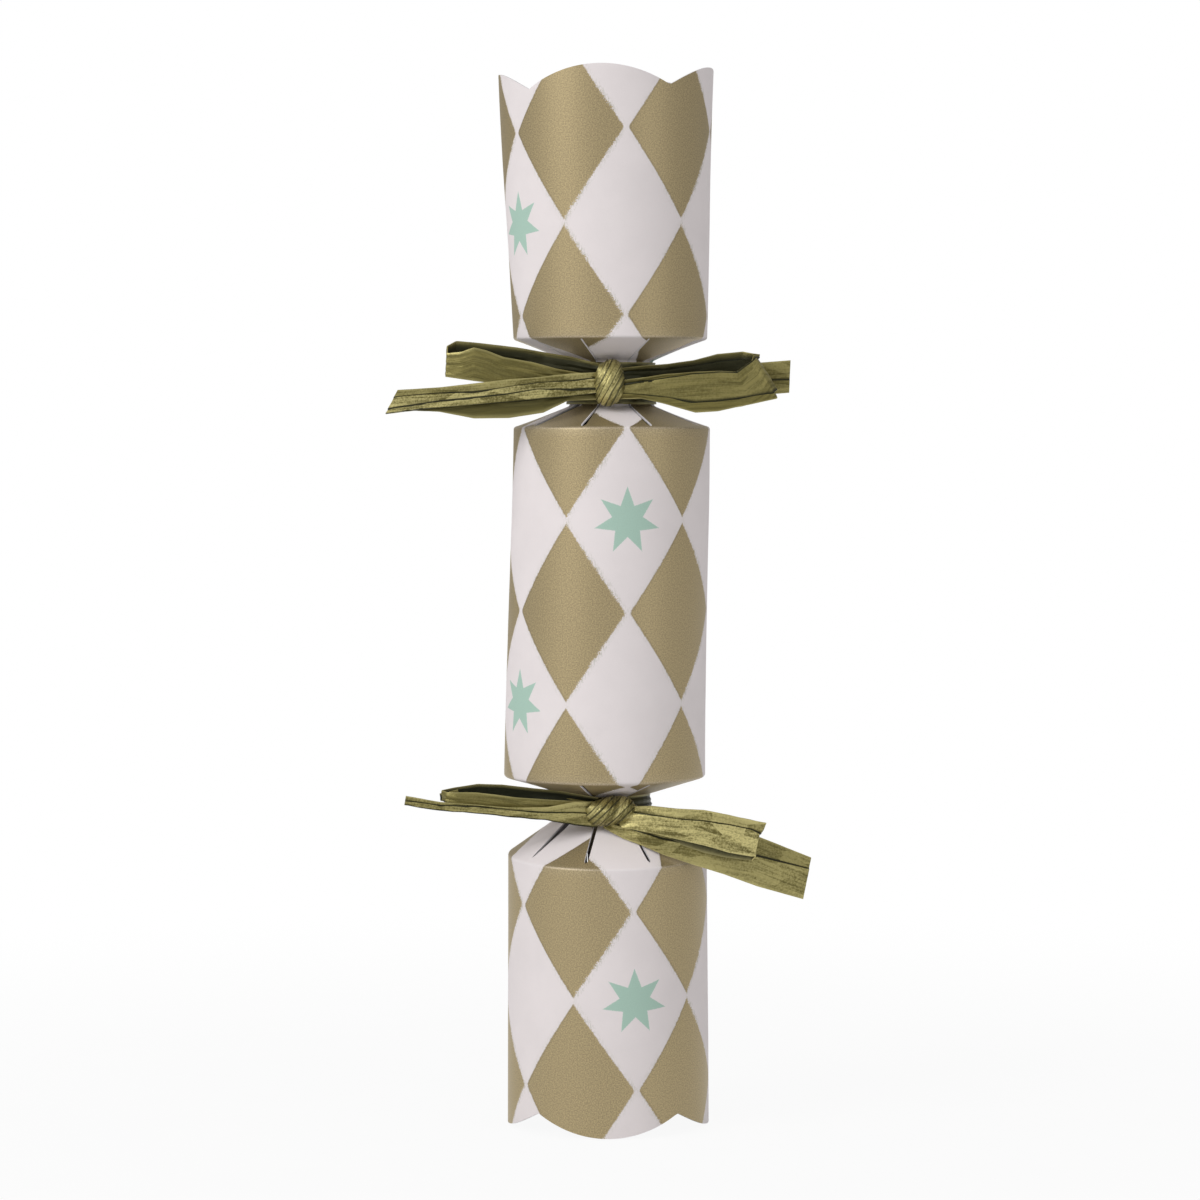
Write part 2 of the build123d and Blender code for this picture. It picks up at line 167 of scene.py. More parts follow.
class CrackerStage(bpy.types.PropertyGroup):
    """Camera, floor and light."""

    lens: FloatProperty(name="Lens", description="Focal length in millimetres", default=111.5, min=20)
    distance: length("Distance", "Camera to the cracker's axis", 1.063)
    camera_height: length("Camera height", "Height of the camera", 0.1982)
    aim_height: length("Aim height", "Height that the camera looks at", 0.1500)
    side: FloatProperty(
        name="Side", description="Camera's offset to the right", default=-0.002, unit="LENGTH"
    )
    key_power: amount("Key power", "Main soft light", 12.3, "POWER")
    fill_power: amount("Fill power", "Light from the right", 2.0, "POWER")
    surround: amount("Surround", "Strength of the light from all sides", 0.41)


# Node trees

SOCKET_KINDS = {float: "Float", int: "Int"}


def socket_name(word):
    return word.replace("_", " ").capitalize()


class Signal:
    """Output of a node, for sums and products with others and with plain numbers."""

    def __init__(self, wiring, socket):
        self.wiring = wiring
        self.socket = socket

    def combined(self, operation, *values):
        maths = self.wiring.vector if self.socket.type == "VECTOR" else self.wiring.math
        return maths(operation, *values)

    def __add__(self, other):
        return self.combined("ADD", self, other)

    def __sub__(self, other):
        return self.combined("SUBTRACT", self, other)

    def __rsub__(self, other):
        return self.combined("SUBTRACT", other, self)

    def __mul__(self, other):
        return self.combined("MULTIPLY", self, other)

    def __truediv__(self, other):
        return self.combined("DIVIDE", self, other)


class Wiring:
    """Places nodes in one tree and joins them."""

    def __init__(self, tree):
        self.tree = tree

    def join(self, value, socket):
        if isinstance(value, Signal):
            self.tree.links.new(value.socket, socket)
        else:
            socket.default_value = value

    def place(self, kind, inputs=None, **settings):
        made = self.tree.nodes.new(kind)
        for name, value in settings.items():
            setattr(made, name, value)
        for socket, value in (inputs or {}).items():
            self.join(value, made.inputs[socket])
        return made

    def outputs(self, kind, inputs=None, **settings):
        """All outputs of a new node, by name."""
        made = self.place(kind, inputs, **settings)
        return {socket.name: Signal(self, socket) for socket in made.outputs}

    def node(self, kind, inputs=None, output=0, **settings):
        """One output of a new node."""
        return Signal(self, self.place(kind, inputs, **settings).outputs[output])

    def filled(self, made, *values):
        """Output of a node whose open sockets follow its settings, with its inputs filled in order."""
        open_inputs = [socket for socket in made.inputs if not socket.is_unavailable]
        for socket, value in zip(open_inputs, values):
            self.join(value, socket)
        return Signal(self, next(socket for socket in made.outputs if not socket.is_unavailable))

    def math(self, operation, *values):
        return self.node("ShaderNodeMath", dict(enumerate(values)), operation=operation)

    def vector(self, operation, *values):
        return self.filled(self.place("ShaderNodeVectorMath", operation=operation), *values)

    def mix(self, kind, share, first, second):
        return self.filled(self.place("ShaderNodeMix", data_type=kind), share, first, second)

    def colour(self, share, first, second):
        solid = [tone if isinstance(tone, Signal) else (*tone, 1) for tone in (first, second)]
        return self.mix("RGBA", share, *solid)

    def point(self, x=0.0, y=0.0, z=0.0):
        return self.node("ShaderNodeCombineXYZ", {0: x, 1: y, 2: z})

    def parts(self, vector):
        return tuple(self.outputs("ShaderNodeSeparateXYZ", {0: vector}).values())

    def ramp(self, value, start, end, low=0.0, high=1.0):
        ends = {0: value, 1: start, 2: end, 3: low, 4: high}
        return self.node("ShaderNodeMapRange", ends, interpolation_type="SMOOTHSTEP")

    def noise(self, vector, scale, detail=2.0, roughness=0.5, dimensions="3D"):
        inputs = {"Vector": vector, "Scale": scale, "Detail": detail, "Roughness": roughness}
        return self.node("ShaderNodeTexNoise", inputs, noise_dimensions=dimensions)

    def group(self, tree, **inputs):
        """Outputs of a shader group that is placed with its own values."""
        named = {socket_name(word): value for word, value in inputs.items()}
        return self.outputs("ShaderNodeGroup", named, node_tree=tree)

    def close(self, **results):
        """Ends a tree with its named outputs."""
        self.place("NodeGroupOutput", results)
        return self.tree

    # For materials

    def own_place(self):
        return self.node("ShaderNodeTexCoord", output="Object")

    def own_map(self, name):
        return self.node("ShaderNodeUVMap", uv_map=name)

    def attribute(self, name):
        return self.node("ShaderNodeAttribute", output="Fac", attribute_name=name)

    def bump(self, height, strength, distance):
        return self.node("ShaderNodeBump", {"Strength": strength, "Distance": distance, "Height": height})

    def coat(self, inputs):
        """Ends a material with its shader."""
        self.place("ShaderNodeOutputMaterial", {"Surface": self.node("ShaderNodeBsdfPrincipled", inputs)})

    # For geometry

    def own_shape(self, holder):
        inputs = {"Object": holder}
        return self.node("GeometryNodeObjectInfo", inputs, "Geometry", transform_space="ORIGINAL")

    def position(self):
        return self.parts(self.node("GeometryNodeInputPosition"))

    def noted(self, name):
        return self.node("GeometryNodeInputNamedAttribute", {"Name": name}, data_type="FLOAT")

    def stored(self, geometry, name, value, kind="FLOAT", domain="POINT"):
        inputs = {"Geometry": geometry, "Name": name, "Value": value}
        return self.node("GeometryNodeStoreNamedAttribute", inputs, data_type=kind, domain=domain)

    def moved(self, geometry, **places):
        named = {socket_name(word): value for word, value in places.items()}
        return self.node("GeometryNodeSetPosition", {"Geometry": geometry, **named})


def add_sockets(tree, side, sockets):
    """Gives a tree its named inputs or outputs, each with its default, or its kind where it has none."""
    for name, default in sockets.items():
        kind = SOCKET_KINDS.get(type(default), default)
        made = tree.interface.new_socket(name, in_out=side, socket_type="NodeSocket" + kind)
        if kind != default:
            made.default_value = default


def new_tree(name, kind, inputs, outputs):
    tree = bpy.data.node_groups.new(name, kind)
    add_sockets(tree, "INPUT", inputs)
    add_sockets(tree, "OUTPUT", outputs)
    wiring = Wiring(tree)
    return wiring, wiring.outputs("NodeGroupInput")


def shader_group(name, inputs, *outputs):
    return new_tree(name, "ShaderNodeTree", inputs, dict.fromkeys(outputs, "Float"))


def geometry_tree(name, inputs):
    inputs = {"Geometry": "Geometry", **inputs, "Seed": 0.0, "Material": "Material"}
    return new_tree(name, "GeometryNodeTree", inputs, {"Geometry": "Geometry"})


def end_tree(wiring, geometry, material):
    """Ends a geometry tree: instances made real, the material set."""
    solid = wiring.node("GeometryNodeRealizeInstances", {0: geometry})
    coated = wiring.node("GeometryNodeSetMaterial", {"Geometry": solid, "Material": material})
    return wiring.close(Geometry=coated)


# Making of pieces

def linked(name, data):
    made = bpy.data.objects.new(name, data)
    bpy.context.collection.objects.link(made)
    return made


def guide_curve(name, lines, cyclic=False):
    """Curve object with one straight-sided spline for each line of points."""
    curve = bpy.data.curves.new(name, "CURVE")
    curve.dimensions = "3D"
    for line in lines:
        spline = curve.splines.new("POLY")
        spline.points.add(len(line) - 1)
        spline.use_cyclic_u = cyclic
        for point, place in zip(spline.points, line):
            point.co = (*place, 1)
    return linked(name, curve)


def grown_mesh(name, tree, thickness, blank=None, sharp=38, **values):
    """Plain mesh of a sheet that a tree makes, with its thickness, inwards and lined for a cut blank."""
    worker = linked(name + "_worker", blank or bpy.data.meshes.new(name + "_blank"))
    growth = worker.modifiers.new("growth", "NODES")
    growth.node_group = tree
    named = {socket_name(word): value for word, value in values.items()}
    for item in tree.interface.items_tree:
        if item.in_out == "INPUT" and item.name in named:
            growth[item.identifier] = named[item.name]
    wall = worker.modifiers.new("wall", "SOLIDIFY")
    wall.thickness = thickness
    wall.offset = -1 if blank else 0
    wall.use_quality_normals = True
    wall.material_offset = wall.material_offset_rim = 1 if blank else 0
    seen = worker.evaluated_get(bpy.context.evaluated_depsgraph_get())
    mesh = bpy.data.meshes.new_from_object(seen)
    worker.modifiers.clear()
    bpy.data.objects.remove(worker)
    mesh.name = name
    mesh.shade_smooth()
    mesh.set_sharp_from_angle(angle=radians(sharp))
    return mesh


def finished(mesh, body, slot, *nodes):
    """Piece that rides on a body in place of its CAD nodes."""
    piece = linked(mesh.name, mesh)
    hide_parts(*nodes)
    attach(piece, body)
    return piece


def finish(material, *nodes):
    """Gives CAD nodes that keep their shape a material."""
    for node in nodes:
        for slot in bpy.data.objects[node].material_slots:
            slot.material = material


# Materials

def surface(name):
    """New material and the wiring of its nodes."""
    made = bpy.data.materials.new(name)
    made.use_nodes = True
    made.node_tree.nodes.clear()
    return made, Wiring(made.node_tree)


def paper_fibre_group():
    """Tooth and cloudiness of paper and card."""
    inputs = {"Place": "Vector", "Tooth": 3000.0, "Cloud": 120.0}
    wiring, given = shader_group("paper fibre", inputs, "Height", "Shade")
    tooth = wiring.noise(given["Place"], given["Tooth"], 3.0, 0.65)
    cloud = wiring.noise(given["Place"], given["Cloud"], 3.0, 0.55)
    return wiring.close(
        Height=tooth + cloud * 0.3,
        Shade=wiring.ramp(cloud + tooth * 0.35, 0.35, 0.95),
    )


def paper_fibre(wiring, tooth, cloud):
    """Outputs of the paper fibre group, which is made the first time and then shared."""
    tree = bpy.data.node_groups.get("paper fibre") or paper_fibre_group()
    return wiring.group(tree, place=wiring.own_place(), tooth=tooth, cloud=cloud)


def wood_grain_group():
    """Growth rings and pores along the height of a turned piece."""
    wiring, given = shader_group("wood grain", {"Place": "Vector", "Rings": 900.0}, "Grain", "Pores")
    drawn = given["Place"] * (1.0, 1.0, 0.12)
    bent = wiring.noise(drawn, 180.0)
    rings = (wiring.parts(given["Place"])[0] + bent * 0.006) * given["Rings"]
    return wiring.close(
        Grain=wiring.ramp(wiring.math("PINGPONG", rings, 1.0), 0.1, 0.95),
        Pores=wiring.ramp(wiring.noise(drawn, 2600.0, 2.0, 0.7), 0.55, 0.72),
    )


# Printed pattern, in millimetres, and the reach of a gold diamond as shares of its cell
PRINT_WIDTH = 35.3
PRINT_HEIGHT = 51.6
DIAMOND_SIDE = 0.484
DIAMOND_WIDTH = 0.477
DIAMOND_HEIGHT = 0.488
STAR_POINTS = 7
STAR_TIP = 9.5
STAR_NOTCH = 4.5


def cell_offset(wiring, value):
    """Nearest whole number, and the distance from it."""
    whole = wiring.math("ROUND", value)
    return whole, value - whole


def diamond_edge(wiring, across, along, place, crisp):
    """Distance in millimetres inside the gold diamonds, whose right edges are brushed, and how drily."""
    far_across, far_along = (0.5 - wiring.math("ABSOLUTE", offset) for offset in (across, along))
    slant = PRINT_WIDTH * PRINT_HEIGHT / hypot(PRINT_WIDTH, PRINT_HEIGHT)
    side = (DIAMOND_SIDE - (far_across + far_along)) * slant
    tip = (DIAMOND_WIDTH - far_across) * PRINT_WIDTH
    top = (DIAMOND_HEIGHT - far_along) * PRINT_HEIGHT
    inside = wiring.math("SMOOTH_MIN", side, wiring.math("MINIMUM", tip, top), 0.5)
    coarse = wiring.noise(place, 0.55, 2.0, 0.6, "2D") - 0.5
    fine = wiring.noise(place, 2.6, 3.0, 0.7, "2D") - 0.5
    dry = wiring.ramp(wiring.noise(place, 0.09, 1.0, 0.5, "2D"), 0.36, 0.62, 0.35, 1.0)
    dry = dry * wiring.mix("FLOAT", crisp, 1.0, 0.4)
    return inside + dry * (fine * 2.6 + coarse), dry


def star_edge(wiring, across, along):
    """Distance in millimetres inside a star with one point up."""
    half_point = pi / STAR_POINTS
    x, y = across * PRINT_WIDTH, along * -PRINT_HEIGHT
    turn = wiring.math("PINGPONG", wiring.math("ARCTAN2", x, y), half_point)
    reach = wiring.vector("LENGTH", wiring.point(x, y))
    run_x = STAR_NOTCH * cos(half_point) - STAR_TIP
    run_y = STAR_NOTCH * sin(half_point)
    side = hypot(run_x, run_y)
    out = reach * wiring.math("COSINE", turn)
    aside = reach * wiring.math("SINE", turn)
    return aside * (run_x / side) - (out - STAR_TIP) * (run_y / side)


def harlequin_group():
    """Printed diamonds and stars, from a map that counts diamonds across and along."""
    wiring, given = shader_group(
        "harlequin print", {"Map": "Vector"}, "Gold", "Star", "Fringe", "Outline", "Grain"
    )
    across, along, _ = wiring.parts(given["Map"])
    column, from_column = cell_offset(wiring, across)
    row, from_row = cell_offset(wiring, along)
    place = given["Map"] * (PRINT_WIDTH, PRINT_HEIGHT, 0.0)
    crisp = wiring.ramp(from_column, -0.02, 0.02)
    inside, dry = diamond_edge(wiring, from_column, from_row, place, crisp)
    streaks = wiring.noise(place * (2.4, 0.7, 1.0), 1.0, 3.0, 0.7, "2D")
    fringe = wiring.ramp(inside, -1.7, 0.1) * wiring.ramp(streaks, 0.44, 0.58)
    third = wiring.math("FLOORED_MODULO", column + row + 1.0, 3.0)
    starred = wiring.math("LESS_THAN", third, 0.5) * wiring.math("GREATER_THAN", row, -0.5)
    ragged = (wiring.noise(place, 3.0, 2.0, 0.6, "2D") - 0.5) * 0.3
    star = wiring.ramp(star_edge(wiring, from_column, from_row) + ragged, -0.12, 0.12)
    return wiring.close(
        Gold=wiring.ramp(inside, -0.2, 0.2),
        Star=star * starred,
        Fringe=fringe * dry,
        Outline=wiring.ramp(inside, 0.75, 0.25) * crisp,
        Grain=wiring.noise(place, 2.6, 3.0, 0.75, "2D"),
    )


def printed_card(card):
    made, wiring = surface("printed card")
    ink = wiring.group(harlequin_group(), map=wiring.own_map("print"))
    paper = paper_fibre(wiring, 2600.0, 90.0)
    ground = wiring.colour(paper["Shade"], shaded(card.ground, 0.955), card.ground)
    ground = wiring.colour(ink["Fringe"] * 0.5, ground, card.fringe)
    speckle = wiring.ramp(ink["Grain"], 0.28, 0.72)
    gold = wiring.colour(speckle, shaded(card.gold, 0.7), shaded(card.gold, 1.24))
    gold = wiring.colour(ink["Outline"] * 0.28, gold, shaded(card.gold, 0.35))
    star = wiring.colour(speckle, shaded(card.mint, 0.94), card.mint)
    face = wiring.colour(ink["Star"], wiring.colour(ink["Gold"], ground, gold), star)
    # Bared card: worn print and a painted highlight along the creases, the cut edge beside the slits
    crease_wear_and_highlight = wiring.attribute("fold") * wiring.ramp(ink["Grain"], 0.35, 0.6, 0.04, 0.22)
    bared = wiring.math("MAXIMUM", crease_wear_and_highlight, wiring.ramp(wiring.attribute("cut"), 0.4, 0.6))
    metal = ink["Gold"] * (1.0 - bared)
    wiring.coat({
        "Base Color": wiring.colour(bared, face, card.inside),
        "Metallic": metal * 0.62,
        "Roughness": wiring.mix("FLOAT", metal, 0.72, wiring.ramp(ink["Grain"], 0.2, 0.8, 0.38, 0.56)),
        "Normal": wiring.bump(paper["Height"], 0.10, 0.0002),
    })
    return made


def plain_paper(name, tone, tooth, cloud, depth, shade=0.9, roughness=0.85):
    made, wiring = surface(name)
    paper = paper_fibre(wiring, tooth, cloud)
    wiring.coat({
        "Base Color": wiring.colour(paper["Shade"], shaded(tone, shade), tone),
        "Roughness": wiring.ramp(paper["Shade"], 0.0, 1.0, roughness, roughness - 0.15),
        "Normal": wiring.bump(paper["Height"], 0.25, depth),
    })
    return made


def turned_wood(name, tone, grain, rings):
    made, wiring = surface(name)
    wood = wiring.group(grain, place=wiring.own_place(), rings=rings)
    body = wiring.colour(wood["Grain"], shaded(tone, 0.78), tone)
    wiring.coat({
        "Base Color": wiring.colour(wood["Pores"], body, shaded(tone, 0.55)),
        "Roughness": wiring.ramp(wood["Grain"], 0.0, 1.0, 0.55, 0.42),
        "Normal": wiring.bump(1.0 - wood["Pores"], 0.2, 0.0001),
    })
    return made


def raffia_group():
    """Drawn fibres, painted facet light and shade, metallic grain, from a map in metres along and across."""
    wiring, given = shader_group(
        "raffia fibres", {"Strip": "Vector", "Place": "Vector"}, "Fibres", "Facet", "Grain"
    )
    strip = given["Strip"]
    fine = wiring.noise(strip * (60.0, 4200.0, 1.0), 1.0, 3.0, 0.6, "2D")
    broad = wiring.noise(strip * (70.0, 900.0, 1.0), 1.0, 2.0, 0.5, "2D")
    crumpled = {"Vector": strip * (105.0, 330.0, 1.0), "Scale": 1.0}
    facets = wiring.node("ShaderNodeTexVoronoi", crumpled, "Color", voronoi_dimensions="2D")
    return wiring.close(
        Fibres=wiring.mix("FLOAT", 0.5, fine, broad),
        Facet=wiring.parts(facets)[0],
        Grain=wiring.noise(given["Place"], 1700.0, 2.0, 0.7),
    )


def raffia_paper(raffia):
    made, wiring = surface("raffia paper")
    notes = ("fold", "edge", "lit", "inside", "across")
    fold, edge, lit, inside, across = (wiring.attribute(name) for name in notes)
    paper = wiring.group(raffia_group(), strip=wiring.own_map("fibre"), place=wiring.own_place())
    olive, sheen, deep = raffia.olive, raffia.sheen_tone, raffia.painted_shade_tone
    body = paper["Facet"] * 0.08 + paper["Fibres"]
    highlight_pattern = paper["Facet"] * 0.3 + paper["Fibres"] + paper["Grain"] * 0.8
    # Darker fibre streaks, with a little painted shade from the facet cells
    tone = wiring.colour(wiring.ramp(body, 0.36, 0.72), wiring.colour(0.4, olive, deep), olive)
    for share, over in (
        # Painted highlight on facets and fibres of the strips that are given light
        (wiring.ramp(highlight_pattern, 0.78, 1.3) * lit, sheen),
        # Painted shade on strips given light below zero
        (lit * -1.0, deep),
        # Painted shade inside a loop, deeper below its top edge
        (inside * wiring.ramp(across, 0.02, 0.2, 0.3, 0.92), deep),
        # Painted highlight along the ribbon's edges
        (edge * 0.4, sheen),
        # Painted shade in the folds
        (fold * 0.95, deep),
    ):
        tone = wiring.colour(share, tone, over)
    wiring.coat({
        "Base Color": tone,
        "Metallic": 0.6,
        "Roughness": wiring.ramp(paper["Grain"], 0.25, 0.75, 0.48, 0.34),
        "Normal": wiring.bump(paper["Fibres"], 0.4, 0.00025),
    })
    return made


# Printed card tube

# Outer (radius, height) points of the three torn lengths of card, in millimetres, upwards
CARD_OUTLINES = {
    "lower_end_wrap": ((28.9, 0.0), (28.5, 77.3), (12.0, 88.9), (12.0, 91.4)),
    "barrel_wrap": (
        (12.0, 91.6), (12.0, 94.3), (28.8, 99.6), (28.0, 199.4), (12.0, 205.6), (12.0, 211.75),
    ),
    "upper_end_wrap": ((12.0, 211.95), (12.0, 218.1), (27.6, 224.4), (30.6, 300.0)),
}
# Turns of a ring's slits from the front, in degrees
LOWER_SLITS = (-147, -100, -53, -13.3, 26.7, 73, 120, 167)
UPPER_SLITS = (-150, -103, -53, -17.4, 23.4, 66, 113, 160)
# Widths of a ring's slits near the tip and at the neck, in millimetres
LOWER_END_WIDTHS = (
    (0.6, 0.6), (0.5, 1.0), (0.5, 3.4), (1.0, 1.2), (1.0, 1.0), (0.5, 0.8), (0.6, 0.7), (0.4, 0.9),
)
BARREL_LOWER_WIDTHS = (
    (0.4, 0.3), (0.5, 0.4), (0.4, 0.4), (0.9, 0.8), (0.4, 0.3), (0.5, 0.4), (0.4, 0.4), (0.6, 0.4),
)
BARREL_UPPER_WIDTHS = (
    (0.4, 0.4), (0.5, 0.5), (1.5, 2.4), (1.2, 0.4), (1.0, 0.5), (0.7, 0.6), (0.5, 0.4), (0.6, 0.3),
)
UPPER_END_WIDTHS = (
    (0.5, 0.4), (0.3, 0.4), (0.2, 0.3), (0.12, 0.16), (0.12, 0.16), (0.3, 0.4), (0.4, 0.5), (0.3, 0.3),
)
# Cells of the cut sheet: counts, and lengths in metres
TONGUE_CELLS = 24
LAP_CELLS = 8
ARC_ROWS = 6
WALL_CELL = 0.0024
SHOULDER_CELL = 0.0009
LONG_WALL = 0.04
# Cuts, tears and the glued lap, in metres
SCALLOP_REACH = 0.014
TEAR_REACH = 0.0025
TEAR_DEPTH = 0.0011
SLIT_TAPER = 0.0009
SEAM_GAP = 0.00012
LAP_TUCK = 0.0016
LAP_FROM_CREASE = 0.006
LAP_FROM_RIM = 0.008
# Shares: a slit's width at its very tip, how far down a shoulder it widens, where a tongue lies deepest, how
# far the worn print and painted highlight along a crease reach in halves of its fold, the first point past a
# cut edge, and the lap's step inwards
SLIT_TIP = 0.25
SLIT_WIDENING = 0.85
TONGUE_MIDDLE = 0.55
CREASE_MARK_REACH = 1.2
PAST_CUT_EDGE = 1.1
LAP_STEP = 1.15
# Scallops on each side of the front one, and the noise of a tear: around the neck, along it and its level
SCALLOPS_ASIDE = 2
TEAR_NOISE = (9, 900, 3.1)


class SlitRing(NamedTuple):
    """Slits of one shoulder: the outline point of its crease, which way it runs, and how they are cut."""

    crease: int
    way: int
    turns: tuple
    widths: tuple
    setback: float


class Pattern(NamedTuple):
    """Place of the print: its turn in degrees, its slant, and the rows of diamonds at an outline point."""

    turn: float
    slant: float
    start: int
    rows: float


def bearing(start, end):
    return atan2(end[1] - start[1], end[0] - start[0])


class CardWall:
    """One length of card: its outline, where its folds are, and how its sheet is cut and printed."""

    def __init__(self, node, card, pattern, rings, rim=None, cut_edge=1.0):
        self.node = node
        self.card = card
        self.points = [(radius * MM, height * MM) for radius, height in CARD_OUTLINES[node]]
        self.pattern = pattern
        self.rings = rings
        self.rim = rim
        self.cut_edge = cut_edge * card.cut_edge
        self.place_folds()

    def place_folds(self):
        """Distance along the sheet of each outline point, and half the length of its rounded fold."""
        self.places, self.half_arcs = [0.0], [0.0]
        cut = 0.0
        for before, here, after in zip(self.points, self.points[1:], self.points[2:]):
            turn = abs(bearing(here, after) - bearing(before, here))
            trim = self.card.fold_radius * tan(turn / 2)
            half_arc = self.card.fold_radius * turn / 2
            self.places.append(self.places[-1] + dist(before, here) - cut - trim + half_arc)
            self.half_arcs.append(half_arc)
            cut = trim - half_arc
        self.places.append(self.places[-1] + dist(*self.points[-2:]) - cut)
        self.half_arcs.append(0.0)

    def rows(self):
        """Distances along the sheet of its rows of points, closer at the folds and on the shoulders."""
        places = []
        for k in range(len(self.places) - 1):
            start = self.places[k] + self.half_arcs[k]
            end = self.places[k + 1] - self.half_arcs[k + 1]
            steps = ceil((end - start) / (WALL_CELL if end - start > LONG_WALL else SHOULDER_CELL))
            places += [between(start, end, i / steps) for i in range(steps)]
            arc = 2 * self.half_arcs[k + 1]
            if arc:
                places += [end + arc * i / ARC_ROWS for i in range(ARC_ROWS)]
        return places + [self.places[-1]]

    def radius_at(self, along):
        for k in range(len(self.places) - 1):
            if along <= self.places[k + 1]:
                share = (along - self.places[k]) / (self.places[k + 1] - self.places[k])
                return between(self.points[k][0], self.points[k + 1][0], share)
        return self.points[-1][0]

    def scallop(self, turn):
        """How far the rim is cut back at a turn from the front."""
        end, front = self.rim
        radius = self.points[end][0]
        pitch = self.card.scallop_width / radius
        off_front = (turn - radians(front) + pi) % (2 * pi) - pi
        lobe = min(max(round(off_front / pitch), -SCALLOPS_ASIDE), SCALLOPS_ASIDE)
        half_chord = radius * sin(pitch / 2)
        depth = self.card.scallop_depth
        bow = (half_chord**2 + depth**2) / (2 * depth)
        aside = radius * sin(off_front - lobe * pitch)
        return bow - sqrt(max(bow**2 - aside**2, 0.0))

    def tear(self, turn, place):
        """How far a torn end is cut back at a turn from the front."""
        around, lengthwise, level = TEAR_NOISE
        return TEAR_DEPTH * abs(noise.noise(Vector((turn * around, place * lengthwise, level))))

    def cut_along(self, along, turn):
        """Where a row lies once the rim is scalloped and the torn neck is ragged."""
        for end, place, inwards in ((0, 0.0, 1), (-1, self.places[-1], -1)):
            scalloped = self.rim and self.rim[0] == end
            reach = SCALLOP_REACH if scalloped else TEAR_REACH
            off_end = abs(along - place)
            if off_end < reach:
                cut = self.scallop(turn) if scalloped else self.tear(turn, place)
                along += inwards * cut * (1 - off_end / reach)
        return along

    def slit_turn(self, along, k):
        """Turn of slit k from the front, which slants from one ring of slits to the other on the barrel."""
        turn = self.rings[0].turns[k]
        if len(self.rings) > 1:
            low, high = (self.places[ring.crease] for ring in self.rings)
            turn = between(turn, self.rings[1].turns[k], eased((along - low) / (high - low)))
        return radians(turn)

    def sides(self, along, k):
        """Turns of the two slits, or slit and seam, beside tongue k, and of its middle."""
        last = len(self.rings[0].turns)
        seam = self.card.seam_turn
        start = self.slit_turn(along, k - 1) if k else seam - 2 * pi
        end = self.slit_turn(along, k) if k < last else seam
        if k == 0:
            return start, end, end - pi / last
        return start, end, start + pi / last if k == last else (start + end) / 2

    def past_crease(self, along):
        """Ring of slits whose crease a row lies beyond, how far, and the length of the shoulder there."""
        for ring in self.rings:
            past = (along - self.places[ring.crease]) * ring.way
            if past > 0:
                return ring, past, abs(self.places[ring.crease + ring.way] - self.places[ring.crease])
        return None, 0.0, 1.0

    def opening(self, along, k):
        """Half width of a slit at a distance along the sheet, none before its tip."""
        ring, past, shoulder = self.past_crease(along)
        past -= self.card.slit_setback * ring.setback if ring else 0.0
        if past <= 0:
            return 0.0
        tip, neck = ring.widths[k]
        width = between(tip, neck, min(past / (SLIT_WIDENING * shoulder), 1.0)) * MM
        return width / 2 * min(SLIT_TIP + past / SLIT_TAPER, 1.0)

    def tongue_dip(self, along, share):
        """How far a tongue's middle lies in, from none at the crease to most on the shoulder."""
        _, past, shoulder = self.past_crease(along)
        off_middle = (past / shoulder - TONGUE_MIDDLE) / TONGUE_MIDDLE
        return max(1 - off_middle**2, 0.0) * (1 - (2 * share - 1) ** 2)

    # Share of bared card near a crease, for worn print and a painted highlight of the fold
    def crease_mark(self, along):
        near = min(abs(along - self.places[ring.crease]) for ring in self.rings)
        return max(1 - near / (CREASE_MARK_REACH * self.half_arcs[self.rings[0].crease]), 0.0)

    def printed_at(self, along, turn, middle):
        """Count of diamonds across and along at a place, which parts at the slits of a folded shoulder."""
        phase = radians(self.pattern.turn)
        radius = self.radius_at(along)
        ring = self.past_crease(along)[0]
        across = (turn - phase) * radius
        if ring:
            across = (middle - phase) * self.points[ring.crease][0] + (turn - middle) * radius
        up = along - self.places[self.pattern.start]
        across += self.pattern.slant * up
        return across / (PRINT_WIDTH * MM), self.pattern.rows - up / (PRINT_HEIGHT * MM)


